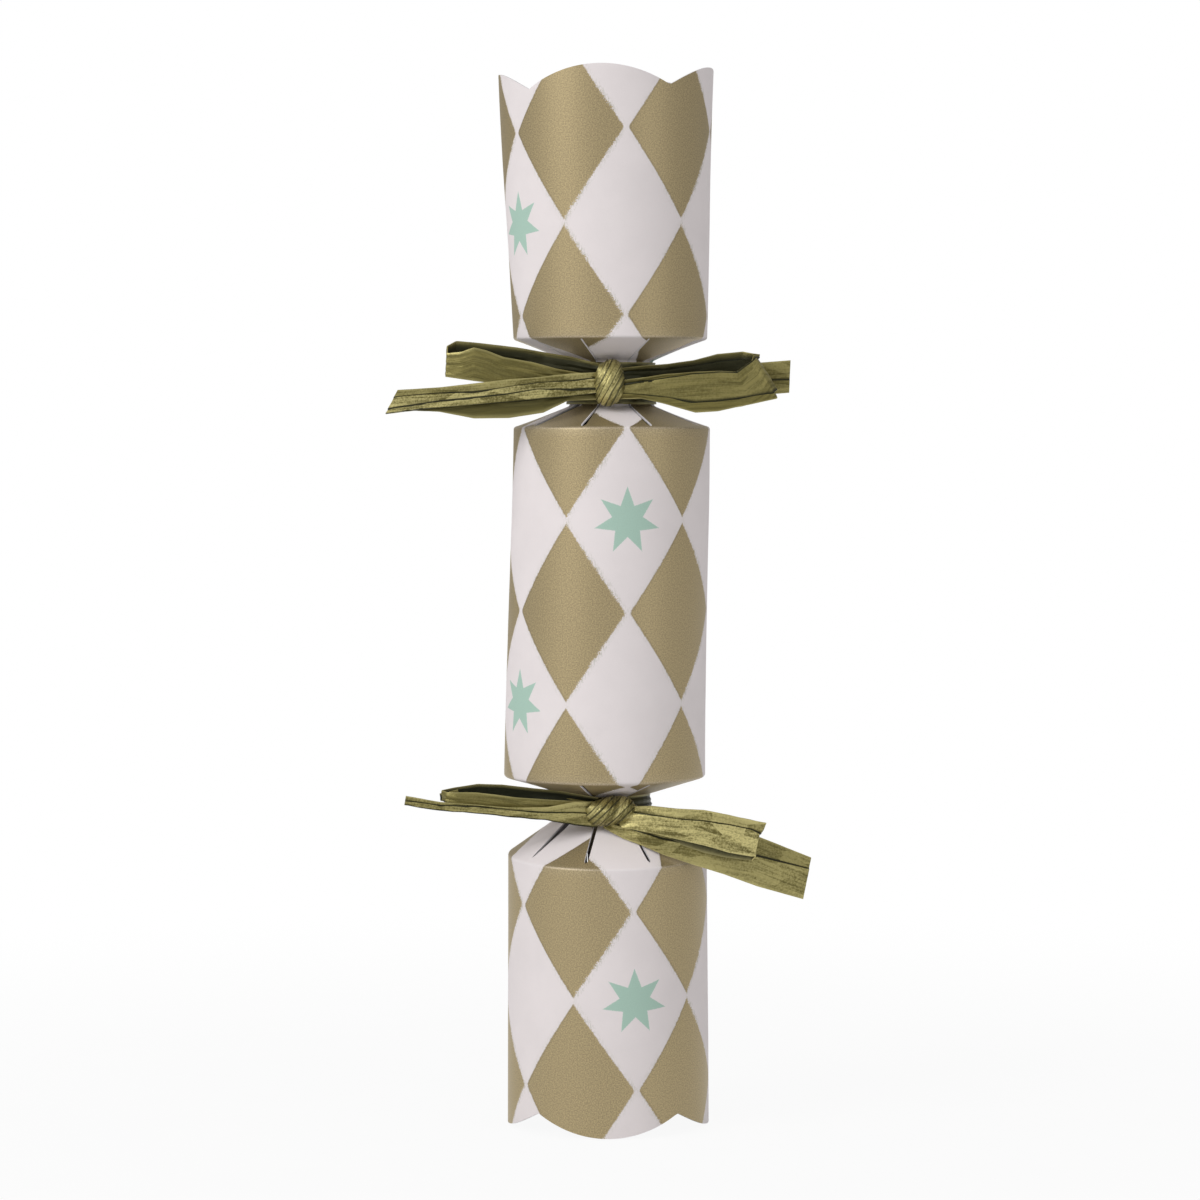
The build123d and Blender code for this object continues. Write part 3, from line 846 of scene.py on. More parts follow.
class CardBlank:
    """Flat cut sheet of one length of card: across by turn, along by distance from its lower end."""

    def __init__(self, wall):
        self.wall = wall
        self.rows = wall.rows()
        self.seam = wall.card.seam_turn
        self.slits = len(wall.rings[0].turns)
        self.radius = max(radius for radius, _ in wall.points)
        self.points, self.notes, self.numbers = [], [], {}
        self.faces, self.middles = [], []
        self.place_lap()
        self.cut_tongues()
        self.cut_lap()

    def place_lap(self):
        """Where the glued lap starts and ends, along the long straight wall."""
        places = self.wall.places
        low = next(k for k in range(len(places) - 1) if places[k + 1] - places[k] > LONG_WALL)
        high = low + 1
        self.lap_low = places[low] + (LAP_FROM_CREASE if low else LAP_FROM_RIM)
        self.lap_high = places[high] - (LAP_FROM_CREASE if high + 1 < len(places) else LAP_FROM_RIM)

    def vertex(self, key, turn, along, lap=0.0, dip=0.0, cut=0.0):
        """Number of a point of the sheet, made the first time and noted with what the card does there."""
        if key not in self.numbers:
            along = self.wall.cut_along(along, turn)
            self.numbers[key] = len(self.points)
            self.points.append((turn * self.radius, along, 0.0))
            self.notes.append((turn, along, lap, dip, self.wall.crease_mark(along), cut))
        return self.numbers[key]

    def tongue(self, along, k):
        """Turns of both sides of tongue k and of its middle, and half the openings beside it."""
        start, end, middle = self.wall.sides(along, k)
        radius, gap = self.wall.radius_at(along), SEAM_GAP / self.radius
        left = self.wall.opening(along, k - 1) / radius if k else 0.0
        right = self.wall.opening(along, k) / radius if k < self.slits else 0.0
        return start + (left if k else gap), end - (right if k < self.slits else gap), middle, left, right

    def tongue_point(self, k, row, i):
        """Point i across tongue k. Where a slit is closed, the tongues beside it share their points."""
        along = self.rows[row]
        start, end, _, left, right = self.tongue(along, k)
        edge = self.wall.cut_edge / self.wall.radius_at(along) / (end - start)
        inset = PAST_CUT_EDGE * edge
        share = between(inset, 1 - inset, (i - 2) / (TONGUE_CELLS - 4))
        share = {0: 0.0, 1: edge, TONGUE_CELLS - 1: 1 - edge, TONGUE_CELLS: 1.0}.get(i, share)
        turn = between(start, end, share)
        key = (row, k, i)
        if i == 0 and k > 0:
            key = (row, "slit", k, "after" if left else "closed")
        if i == TONGUE_CELLS and k < self.slits:
            key = (row, "slit", k + 1, "before" if right else "closed")
        lapped = k == self.slits and self.lap_low < along < self.lap_high
        lap = eased(1 - (self.seam - turn) * self.radius / LAP_TUCK) if lapped else 0.0
        cut = i <= 1 and left > 0 and start > 0 or i >= TONGUE_CELLS - 1 and right > 0 and end < 0
        return self.vertex(key, turn, along, lap, self.wall.tongue_dip(along, share), float(cut))

    def lap_point(self, row, i):
        if i == 0:
            return self.tongue_point(self.slits, row, TONGUE_CELLS)
        turn = self.seam + self.wall.card.lap_width / self.radius * i / LAP_CELLS
        return self.vertex((row, "lap", i), turn, self.rows[row], 1.0)

    def add_cell(self, point, row, i, middle):
        self.faces.append((point(row, i), point(row, i + 1), point(row + 1, i + 1), point(row + 1, i)))
        self.middles.append(middle)

    def cut_tongues(self):
        for k in range(self.slits + 1):
            point = partial(self.tongue_point, k)
            for row in range(len(self.rows) - 1):
                middle = self.tongue((self.rows[row] + self.rows[row + 1]) / 2, k)[2]
                for i in range(TONGUE_CELLS):
                    self.add_cell(point, row, i, middle)

    def cut_lap(self):
        lap_rows = [row for row, along in enumerate(self.rows) if self.lap_low < along < self.lap_high]
        for row in lap_rows[:-1]:
            for i in range(LAP_CELLS):
                self.add_cell(self.lap_point, row, i, self.seam)

    def mesh(self, printed, bare):
        mesh = bpy.data.meshes.new(self.wall.node + "_blank")
        mesh.from_pydata(self.points, [], self.faces, shade_flat=False)
        for name, values in zip(("lap", "dip", "fold", "cut"), list(zip(*self.notes))[2:]):
            mesh.attributes.new(name, "FLOAT", "POINT").data.foreach_set("value", values)
        print_map = mesh.uv_layers.new(name="print")
        for face, middle in zip(mesh.polygons, self.middles):
            for corner in face.loop_indices:
                turn, along = self.notes[mesh.loops[corner].vertex_index][:2]
                print_map.uv[corner].vector = self.wall.printed_at(along, turn, middle)
        mesh.materials.append(printed)
        mesh.materials.append(bare)
        return mesh


def rolled_card_tree():
    """Rolls a flat sheet about the axis along an outline with rounded folds."""
    wiring, given = geometry_tree("rolled card", {
        "Outline": "Object", "Sheet radius": 0.028, "Fold radius": 0.0014, "Lap step": 0.0005,
        "Tongue flatness": 0.001, "Unevenness": 0.0003, "Lower lean": 0.0, "Upper lean": 0.0,
        "Upper tilt": "Vector",
    })
    outline = wiring.own_shape(given["Outline"])
    folds = {"Curve": outline, "Count": ARC_ROWS, "Radius": given["Fold radius"]}
    folded = wiring.node("GeometryNodeFilletCurve", folds, mode="POLY")
    flat_x, flat_y, _ = wiring.position()
    turn = flat_x / given["Sheet radius"]
    wall = wiring.outputs("GeometryNodeSampleCurve", {"Curves": folded, "Length": flat_y}, mode="LENGTH")
    run_x, _, run_z = wiring.parts(wall["Tangent"])
    outward = wiring.point(run_z, 0.0, run_x * -1.0)
    wave_place = wiring.point(wiring.math("COSINE", turn), wiring.math("SINE", turn), flat_y * 22.0)
    wave = wiring.noise(wave_place + wiring.point(given["Seed"]), 1.1, 1.0, 0.4) - 0.5
    lap_step = wiring.noted("lap") * given["Lap step"]
    dip = wiring.noted("dip") * given["Tongue flatness"]
    lift = wave * given["Unevenness"] - lap_step - dip
    placed = wall["Position"] + wiring.vector("SCALE", outward, lift)
    rolling = {"Vector": placed, "Angle": turn - pi / 2}
    rolled = wiring.node("ShaderNodeVectorRotate", rolling, rotation_type="Z_AXIS")
    ends = wiring.outputs("GeometryNodeBoundBox", {"Geometry": outline, "Use Radius": False})
    height, low, high = (wiring.parts(place)[2] for place in (rolled, ends["Min"], ends["Max"]))
    lean = wiring.ramp(height, low, high, given["Lower lean"], given["Upper lean"])
    tilt = wiring.vector("DOT_PRODUCT", rolled, given["Upper tilt"]) * wiring.ramp(height, low, high)
    leaning = rolled + wiring.point(lean, 0.0, tilt)
    return end_tree(wiring, wiring.moved(given["Geometry"], position=leaning), given["Material"])


def card_walls(card):
    """The three lengths of card, each with its body, its lean at both ends and its upper end's tilt."""
    lower_end = CardWall(
        "lower_end_wrap", card, Pattern(turn=16.4, slant=0.0143, start=0, rows=5.761),
        [SlitRing(1, 1, LOWER_SLITS, LOWER_END_WIDTHS, 2.8)], rim=(0, -0.3), cut_edge=0.25,
    )
    barrel = CardWall(
        "barrel_wrap", card, Pattern(turn=13.4, slant=0.0238, start=2, rows=3.428),
        [
            SlitRing(2, -1, LOWER_SLITS, BARREL_LOWER_WIDTHS, 1.0),
            SlitRing(3, 1, UPPER_SLITS, BARREL_UPPER_WIDTHS, 1.3),
        ],
    )
    upper_end = CardWall(
        "upper_end_wrap", card, Pattern(turn=8.3, slant=-0.0199, start=2, rows=0.622),
        [SlitRing(2, -1, UPPER_SLITS, UPPER_END_WIDTHS, 1.0)], rim=(-1, -4.8), cut_edge=1.3,
    )
    return (
        (lower_end, "lower_end", (0.0004, 0.0001), (0.0, 0.06, 0.0)),
        (barrel, "barrel", (-0.0007, 0.0014), (0.0, 0.0, 0.0)),
        (upper_end, "upper_end", (0.0010, -0.0003), (0.027, 0.0, 0.0)),
    )


class CRACKER_OT_card(bpy.types.Operator):
    """Roll the printed card into the barrel and the two ends"""

    bl_idname = "cracker.card"
    bl_label = "Card tube"

    def execute(self, context):
        card = context.scene.cracker_card
        printed = printed_card(card)
        bare = plain_paper("bare card", card.inside, 2200.0, 150.0, 0.00015)
        tree = rolled_card_tree()
        for seed, (wall, body, lean, tilt) in enumerate(card_walls(card), start=1):
            blank = CardBlank(wall)
            outline = guide_curve(wall.node + "_outline", [[(r, 0.0, z) for r, z in wall.points]])
            mesh = grown_mesh(
                wall.node.replace("wrap", "card"), tree, card.thickness, blank.mesh(printed, bare),
                outline=outline, sheet_radius=blank.radius, fold_radius=card.fold_radius,
                lap_step=LAP_STEP * card.thickness, tongue_flatness=card.tongue_flatness,
                unevenness=card.unevenness, lower_lean=lean[0], upper_lean=lean[1], upper_tilt=tilt,
                seed=float(seed), material=printed,
            )
            bpy.data.objects.remove(outline)
            finished(mesh, body, "printed_card", wall.node)
        return {"FINISHED"}


# Raffia bows

# A ribbon's course, in millimetres from the axis and from the middle of its tie: stations across the front,
# how far each lies in front of the axis, heights of its edges and folds there, how far each fold steps
# forward, where its cut end slants from and to, which stations of a loop's end shift at its top and bottom,
# the painted light on each of its strips, below zero for painted shade, and how deep the painted shade
# inside a loop is.
UPPER_BOW = {
    "left_loop": dict(
        lit=(0.1,),
        x=(-1.5, -10, -18, -26, -35, -42.4, -45.2, -45.5, -40.5, -37.5, -34.2, -28.7, -21.5, -14, -1.5),
        depth=(15.6, 13.6, 12.0, 11.2, 10.9, 11.4, 14.0, 16.2, 17.4, 17.8, 18.0, 18.3, 18.4, 18.2, 17.4),
        heights=(
            (5.2, 7.4, 8.7, 10.1, 11.3, 11.9, 10.4, 8.3, 8.6, 9.9, 9.1, 7.2, 5.8, 3.9, 1.6),
            (-0.2, 0.2, 0.5, 1.0, 1.7, 2.3, 3.0, 1.7, 1.0, 0.5, 0.2, 0.2, -0.2, -0.8, -1.8),
        ),
    ),
    "right_loop": dict(
        lit=(-0.1, 0.2, 0.05),
        x=(3, 9.6, 16.8, 24, 31.8, 38.4, 44.4, 45.3, 44.6, 40.5, 36.4, 31.5, 24.5, 16.5, 9.5, 3),
        depth=(
            15.6, 13.4, 11.8, 11.0, 10.7, 11.2, 13.2, 15.4, 17.2, 18.2, 18.8, 19.0, 19.0, 18.8, 18.2, 17.4,
        ),
        heights=(
            (4.0, 4.8, 5.4, 6.4, 8.2, 8.9, 8.2, 8.0, 7.6, 6.1, 2.9, 3.2, 3.0, 2.4, 1.4, 0.6),
            (2.6, 3.2, 3.6, 4.6, 6.0, 6.6, 6.6, 7.0, 7.2, 5.8, 2.7, 2.9, 2.4, 1.2, 0.2, -0.6),
            (0.0, -1.0, -2.4, -4.4, -5.4, -5.0, -2.6, -2.0, -2.8, -3.8, -4.6, -5.2, -5.6, -4.2, -3.4, -3.0),
            (-2.0, -2.8, -4.2, -6.6, -7.4, -6.6, -4.0, -3.4, -4.4, -6.1, -6.8, -8.0, -8.4, -5.8, -4.4, -4.6),
        ),
        steps=(0.45, 0.45),
        end_shift=(6, 8, -3.0, 3.0),
    ),
    "left_tail": dict(
        lit=(0.45, 0.9, 0.85, -0.35),
        x=(-2, -10, -19, -28, -38, -47, -55, -60),
        depth=(17.2, 19.4, 20.4, 20.8, 20.9, 20.8, 20.4, 20.0),
        heights=(
            (3.0, 2.6, 1.6, 0.9, -0.4, -1.3, -1.8, -2.0),
            (1.4, 0.5, 0.0, -1.4, -2.6, -2.95, -3.6, -4.2),
            (-1.6, -1.9, -1.85, -3.2, -4.3, -5.0, -6.4, -7.4),
            (-2.6, -3.6, -4.4, -5.3, -6.1, -6.9, -7.7, -8.6),
            (-4.7, -5.0, -8.4, -9.9, -10.0, -8.1, -7.8, -8.7),
        ),
        steps=(0.4, 0.4, -1.3),
        end=(-58.7, -62.1),
    ),
    "right_tail": dict(
        lit=(0.3, 0.25),
        x=(2, 9, 16, 24, 32, 44, 51.6),
        depth=(14.4, 12.2, 10.2, 8.4, 7.4, 7.4, 7.9),
        heights=(
            (3.4, 4.0, 4.6, 5.0, 5.4, 5.9, 6.5),
            (0.6, 0.6, 0.6, 0.6, 0.6, 0.75, 0.9),
            (-1.6, -2.2, -2.8, -3.2, -3.4, -3.2, -2.7),
        ),
        steps=(0.5,),
        end=(52.0, 51.6),
    ),
}
LOWER_BOW = {
    "left_loop": dict(
        lit=(0.15, 0.15),
        gloom=2.6,
        x=(-2.5, -13, -21, -30, -36, -43, -47, -45.6, -42, -37, -31, -25, -17, -9, -2.5),
        depth=(15.4, 12.8, 11.4, 10.8, 10.8, 11.6, 14.2, 16.0, 17.0, 17.4, 17.6, 17.8, 17.8, 17.4, 16.8),
        heights=(
            (3.3, 4.9, 5.5, 6.5, 6.7, 5.8, 5.2, 4.8, 4.9, 4.9, 4.2, 3.5, 2.9, 2.5, 2.2),
            (-0.8, 0.2, 0.6, 1.4, 1.6, 1.6, 2.2, 2.2, 1.4, 0.8, 0.2, -0.2, -0.6, -1.2, -1.8),
            (2.6, 4.2, 4.8, 6.0, 6.2, 5.3, 4.2, 4.0, 4.0, 4.0, 3.4, 2.7, 2.2, 1.9, 1.6),
        ),
        steps=(-0.5,),
    ),
    "right_loop": dict(
        lit=(0.75, 1.0),
        x=(4, 12, 20, 27, 34, 40, 43.4, 43.6, 40.6, 34, 27, 20, 12, 4),
        depth=(15.6, 18.4, 19.8, 20.6, 21.2, 21.6, 22.0, 23.0, 23.4, 23.4, 23.0, 22.2, 20.4, 16.8),
        heights=(
            (0.6, 1.0, 0.5, 0.0, -1.0, -2.2, -3.2, -3.1, -2.2, -0.8, 0.5, 0.8, 1.4, 0.9),
            (-0.6, -0.9, -1.6, -2.4, -4.2, -5.6, -6.4, -6.2, -5.0, -3.6, -2.6, -2.2, -1.2, -0.6),
            (-4.4, -6.6, -9.4, -11.6, -13.1, -13.9, -13.9, -12.5, -12.5, -11.4, -9.3, -7.8, -6.2, -4.8),
        ),
        steps=(0.45,),
        end_shift=(6, 7, 0.5, -2.3),
    ),
    "left_tail": dict(
        lit=(0.5, 0.55, 0.3, 0.3),
        x=(-3, -9, -17, -28, -36, -47, -56.8),
        depth=(16.6, 18.8, 19.6, 19.9, 19.9, 19.6, 19.2),
        heights=(
            (2.2, 2.4, 1.0, 0.8, 1.6, 2.4, 4.1),
            (-1.4, -0.8, -0.6, 0.2, 1.1, 1.5, 2.7),
            (-4.8, -4.0, -2.4, -1.65, -0.7, 0.0, 1.7),
            (-0.9, -0.6, -0.5, 0.2, 0.9, 1.4, 2.9),
            (1.8, 1.9, 0.7, 0.5, 1.3, 2.1, 3.8),
        ),
        steps=(0.4, -0.4, -0.4),
        end=(-56.7, -57.1),
    ),
    "right_tail": dict(
        lit=(0.35, 0.5),
        x=(-1, 5, 10, 16, 23, 32, 43, 57),
        depth=(16.4, 17.4, 19.0, 20.0, 19.8, 18.6, 17.0, 15.0),
        heights=(
            (-2.6, -2.8, -3.2, -3.6, -3.9, -5.6, -7.8, -13.8),
            (-3.6, -5.0, -6.4, -8.2, -9.4, -11.0, -13.4, -17.1),
            (-5.1, -8.05, -10.0, -12.4, -14.7, -18.1, -21.7, -25.6),
        ),
        steps=(0.5,),
        end=(57.8, 55.5),
    ),
}
# Knots, in millimetres: middle across and above the tie, half sizes across, up and through, and the tilt of
# the oval and slope of its pleats in degrees
UPPER_KNOT = dict(middle=(0.6, 0.0), half=(4.3, 6.5, 3.4), tilt=-4, slope=66)
LOWER_KNOT = dict(middle=(0.9, -0.5), half=(7.4, 4.0, 3.6), tilt=9, slope=34)
# Each bow with its ribbons, its knot, how far its band sits aside in metres, and its seed
BOWS = (
    ("upper_bow", UPPER_BOW, UPPER_KNOT, 0.0012, 0.0),
    ("lower_bow", LOWER_BOW, LOWER_KNOT, -0.0003, 20.0),
)
# Side of a looped ribbon's sheet that looks into the loop
LOOP_SIDES = {"left_loop": 1, "right_loop": -1}
# Pleats of a knot: where each lies as a share of the oval, its step forward in millimetres, and its light
KNOT_FOLDS = (-0.97, -0.72, -0.44, -0.16, 0.12, 0.42, 0.7, 0.97)
KNOT_STEPS = (0.3, 0.3, 0.25, -0.3, -0.3, 0.2)
KNOT_LIT = (0.6, 0.8, 0.5, 0.7, 0.9, 0.5, 0.7)
# Shape of a knot: lip of a pleat as a share of the oval, how thin its ends are, how far steps widen it
KNOT_LIP = 0.02
KNOT_THINNING = 0.7
KNOT_WIDENING = 0.5
KNOT_SIDES = 24
# Section of a band: share of its height and millimetres outwards, with a second layer on a narrow tie
BAND_SECTION = ((1.0, -0.2), (0.56, 0.1), (0.5, 0.35), (0.0, 0.0))
BAND_SECOND_LAYER = ((0.0, -0.3), (0.85, -0.35))
# Shape of a band: a narrow tie as a share of the ribbon's width, and metres inside and past its node
NARROW_TIE = 0.7
BAND_INSET = 0.0004
BAND_SPREAD = 0.0009
BAND_SIDES = 32
# Painted shade over the whole band
BAND_LIT = (-0.85,)
BAND_CRUMPLE = 0.5
# Ribbon sheets: lip of a fold and unevenness of the stations in millimetres, length of a cell in metres,
# cells between two lines, and degrees from which a bend shades as an edge
FOLD_LIP = 0.14
STATION_JITTER = 1.4
RIBBON_CELL = 0.00055
RIBBON_CELLS = 10
RIBBON_SHARP = 17
# Steps between the seeds of a bow's ribbons, and the seed of its knot past the bow's own
RIBBON_SEEDS = 1.7
KNOT_SEED = 11


def ribbon_rails(course, tie_height):
    """Lines along a ribbon's edges and both sides of each of its folds."""
    heights = course["heights"]
    slant = course.get("end")
    first, last, *shifts = course.get("end_shift", (0, -1, 0.0, 0.0))
    top, bottom = heights[0], [min(edges) for edges in zip(*heights)]
    rails, forward = [], 0.0

    def rail(edge, lip):
        line = []
        for k, (x, depth) in enumerate(zip(course["x"], course["depth"])):
            share = (top[k] - edge[k]) / (top[k] - bottom[k])
            if slant and k == len(course["x"]) - 1:
                x = between(*slant, share)
            elif k:
                x += STATION_JITTER * noise.noise(Vector((1.7 * k, 2.3 * len(rails), 0.6)))
            if first <= k <= last:
                x += between(*shifts, share)
            line.append((x * MM, -(depth + forward) * MM, tie_height + (edge[k] + lip) * MM))
        rails.append(line)

    rail(top, 0.0)
    for edge, step in zip(heights[1:], course.get("steps", ())):
        lip = FOLD_LIP if step > 0 else 0.0
        rail(edge, lip)
        forward += step
        rail(edge, -lip)
    rail(heights[-1], 0.0)
    return rails


def ribbon_length(course):
    """Length of a ribbon's course as seen from above."""
    stations = list(zip(course["x"], course["depth"]))
    return MM * sum(dist(a, b) for a, b in zip(stations, stations[1:]))


def knot_rails(knot, middle_depth, tie_height):
    """Rings of a knot's slanting turn of ribbon, pleated, cut from an oval."""
    tilt, slope = radians(knot["tilt"]), radians(knot["slope"])
    half_wide, half_tall, half_depth = knot["half"]
    along = cos(slope), sin(slope)
    across = sin(slope), -cos(slope)
    square = sum((part / half) ** 2 for part, half in zip(along, (half_wide, half_tall)))
    skew = sum(a * b / half**2 for a, b, half in zip(along, across, (half_wide, half_tall)))
    reach = half_wide * half_tall * sqrt(square)
    rings, forward = [], 0.0

    def ring(share, lip):
        middle = -share * reach * skew / square
        half = sqrt(1 - share**2) / sqrt(square)
        waist = sqrt(1 - KNOT_THINNING * share**2)
        line = []
        for k in range(KNOT_SIDES):
            turn = 2 * pi * k / KNOT_SIDES
            run = middle + (half + KNOT_WIDENING * forward) * sin(turn)
            x, z = (run * a + (share + lip) * reach * b for a, b in zip(along, across))
            y = (half_depth * waist + forward) * cos(turn)
            line.append((
                (knot["middle"][0] + x * cos(tilt) - z * sin(tilt)) * MM,
                y * MM - middle_depth,
                (knot["middle"][1] + x * sin(tilt) + z * cos(tilt)) * MM + tie_height,
            ))
        rings.append(line)

    ring(KNOT_FOLDS[0], 0.0)
    for share, step in zip(KNOT_FOLDS[1:], KNOT_STEPS):
        ring(share, -KNOT_LIP)
        forward += step
        ring(share, KNOT_LIP)
    ring(KNOT_FOLDS[-1], 0.0)
    return rings


def band_rails(aside, radius, low, high, width):
    """Rings of the turn of ribbon around the neck, with one fold along it, and doubled on a narrow tie."""
    section = BAND_SECTION + (BAND_SECOND_LAYER if high - low < NARROW_TIE * width else ())
    turns = [2 * pi * k / BAND_SIDES for k in range(BAND_SIDES)]
    rings = []
    for share, out in section:
        reach, height = radius + out * MM, between(low, high, share)
        rings.append([(aside + reach * sin(turn), reach * cos(turn), height) for turn in turns])
    return rings


def ribbon_tree():
    """Lays a pleated and crumpled ribbon across its lines."""
    wiring, given = geometry_tree("raffia ribbon", {
        "Lines": "Object", "Cell": 0.0005, "Cells between lines": 8, "Pleats": 4.0, "Pleat depth": 0.0004,
        "Tied at both ends": 0.0, "Crumple": 0.0004, "Fold shade": 1.0,
    })
    lines = wiring.own_shape(given["Lines"])
    count = wiring.node(
        "GeometryNodeAttributeDomainSize", {"Geometry": lines}, "Spline Count", component="CURVE"
    )
    gaps = count - 1.0
    run = wiring.node("GeometryNodeCurveLength", {"Curve": lines}) / count
    grid = wiring.node("GeometryNodeMeshGrid", {
        "Size X": 1.0, "Size Y": 1.0, "Vertices X": run / given["Cell"] + 2.0,
        "Vertices Y": gaps * given["Cells between lines"] + 1.0,
    })
    flat_x, flat_y, _ = wiring.position()
    sheet = wiring.stored(grid, "along", flat_x + 0.5)
    sheet = wiring.stored(sheet, "across", flat_y + 0.5)
    along, across = wiring.noted("along"), wiring.noted("across")

    level = across * gaps
    lower = wiring.math("MINIMUM", wiring.math("FLOOR", level + 0.0005), gaps - 1.0)
    places = []
    for index in (lower, lower + 1.0, 0):
        inputs = {"Curves": lines, "Factor": along, "Curve Index": index}
        places.append(wiring.node("GeometryNodeSampleCurve", inputs, "Position", mode="FACTOR"))
    laid = wiring.mix("VECTOR", level - lower, *places[:2])
    sheet = wiring.moved(sheet, position=laid)
    off_top = wiring.vector("LENGTH", laid - places[2])
    metres = wiring.point(along * run, off_top, given["Seed"])

    both_ends = wiring.math("ABSOLUTE", along * 2.0 - 1.0)
    near = wiring.mix("FLOAT", given["Tied at both ends"], 1.0 - along, both_ends)
    gather = wiring.math("POWER", near, 2.0) * 0.7 + 0.3
    drift = wiring.noise(metres * (90.0, 60.0, 5.0), 1.0, 1.0)
    pleat = wiring.math("PINGPONG", across * given["Pleats"] + drift, 0.5) - 0.25
    pleat = pleat * 2.0 * (gather * given["Pleat depth"])
    crumpled = {"Vector": metres * (110.0, 330.0, 1.0), "Scale": 1.0}
    off_facet = wiring.node(
        "ShaderNodeTexVoronoi", crumpled, "Distance", voronoi_dimensions="3D", feature="DISTANCE_TO_EDGE"
    )
    swell = wiring.noise(metres * (55.0, 120.0, 3.0), 1.0, 1.0)
    rumple = (off_facet * 0.9 + swell - 0.72) * given["Crumple"]
    normal = wiring.node("GeometryNodeInputNormal")
    sheet = wiring.moved(sheet, offset=wiring.vector("SCALE", normal, pleat + rumple))

    in_fold = wiring.math("FLOORED_MODULO", lower, 2.0) * given["Fold shade"]
    off_edge = wiring.math("MINIMUM", across, 1.0 - across)
    own_place = wiring.point(given["Seed"] * 0.13)
    # Points within a fold, for painted shade
    sheet = wiring.stored(sheet, "fold", in_fold)
    sheet = wiring.stored(sheet, "facing", normal, "FLOAT_VECTOR", "FACE")
    # Nearness to the ribbon's edges, for a painted highlight
    sheet = wiring.stored(sheet, "edge", wiring.ramp(off_edge, 0.05, 0.0))
    sheet = wiring.stored(sheet, "fibre", metres + own_place, "FLOAT2", "CORNER")
    sheet = wiring.node("GeometryNodeMergeByDistance", {"Geometry": sheet, "Distance": 0.00001})
    return end_tree(wiring, sheet, given["Material"])


def mark_light(mesh, strips, side):
    """Notes how well each strip of a ribbon is lit, and which faces look into a loop and get painted shade.
    """
    places = [place.value for place in mesh.attributes["across"].data]
    lit = [strips[int(place * (len(strips) - 0.5) + 0.25)] for place in places]
    mesh.attributes.new("lit", "FLOAT", "POINT").data.foreach_set("value", lit)
    facing = mesh.attributes["facing"].data
    # How squarely each face looks into the loop, for painted shade
    inside = [max(side * face.normal.dot(facing[face.index].vector), 0.0) for face in mesh.polygons]
    mesh.attributes.new("inside", "FLOAT", "FACE").data.foreach_set("value", inside)


def laid_ribbon(raffia, tree, paper, node, rails, lit, side=0.0, cyclic=False, **values):
    """Raffia laid across its rails and lit in strips, in place of its CAD node."""
    lines = guide_curve(node + "_lines", rails, cyclic)
    mesh = grown_mesh(
        node + "_ribbon", tree, raffia.thickness, sharp=RIBBON_SHARP, lines=lines, cell=RIBBON_CELL,
        cells_between_lines=RIBBON_CELLS, pleat_depth=raffia.pleat_depth, material=paper, **values,
    )
    mark_light(mesh, lit, side)
    bpy.data.objects.remove(lines)
    return finished(mesh, "barrel", "raffia", node)


class CRACKER_OT_bows(bpy.types.Operator):
    """Tie the two raffia bows around the necks"""

    bl_idname = "cracker.bows"
    bl_label = "Raffia bows"

    def execute(self, context):
        raffia = context.scene.cracker_raffia
        laid = partial(laid_ribbon, raffia, ribbon_tree(), raffia_paper(raffia))
        for bow, courses, knot, aside, seed in BOWS:
            low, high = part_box(bow + "_band")
            tie_height = (low.z + high.z) / 2
            for k, (part, course) in enumerate(courses.items()):
                side = LOOP_SIDES.get(part, 0)
                piece = laid(
                    f"{bow}_{part}", ribbon_rails(course, tie_height), course["lit"],
                    side * course.get("gloom", 1.0), pleats=4.0, fold_shade=1.0, crumple=raffia.crumple,
                    tied_at_both_ends=float(abs(side)), seed=seed + RIBBON_SEEDS * k,
                )
                flat = (raffia.width, ribbon_length(course))
            knot_depth = -sum(corner.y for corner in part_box(bow + "_knot")) / 2
            knotted = knot_rails(knot, knot_depth, tie_height)
            round_neck = band_rails(
                aside, high.x - BAND_INSET, low.z - BAND_SPREAD, high.z + BAND_SPREAD, raffia.width
            )
            turns = (
                ("_knot", knotted, raffia.crumple, KNOT_LIT),
                ("_band", round_neck, BAND_CRUMPLE * raffia.crumple, BAND_LIT),
            )
            for k, (part, rings, crumple, lit) in enumerate(turns):
                piece = laid(
                    bow + part, rings, lit, cyclic=True, pleats=8.0, fold_shade=0.8, crumple=crumple,
                    tied_at_both_ends=0.0, seed=seed + KNOT_SEED + k,
                )
                middle = [Vector(place) for place in rings[len(rings) // 2]]
        return {"FINISHED"}


# Filling of the barrel

# Rolled papers: turns of a roll, its core and wrinkles as shares of its outer radius, its clearance in
# metres, and its points along and up
ROLL_TURNS = 3.0
ROLL_CORE = 0.4
ROLL_WRINKLE = 0.05
ROLL_CLEARANCE = 0.0003
ROLL_POINTS = {"Vertices X": 420, "Vertices Y": 44}
PAPER_ROLLS = (
    dict(node="paper_hat", slot="tissue", paper="tissue paper", tone="tissue", shade=0.78,
         thickness=0.0002, points=5.0, point_depth=0.009),
    dict(node="motto_slip", slot="motto_paper", paper="motto paper", tone="slip", shade=0.9,
         thickness=0.00018, points=0.0, point_depth=0.0),
)


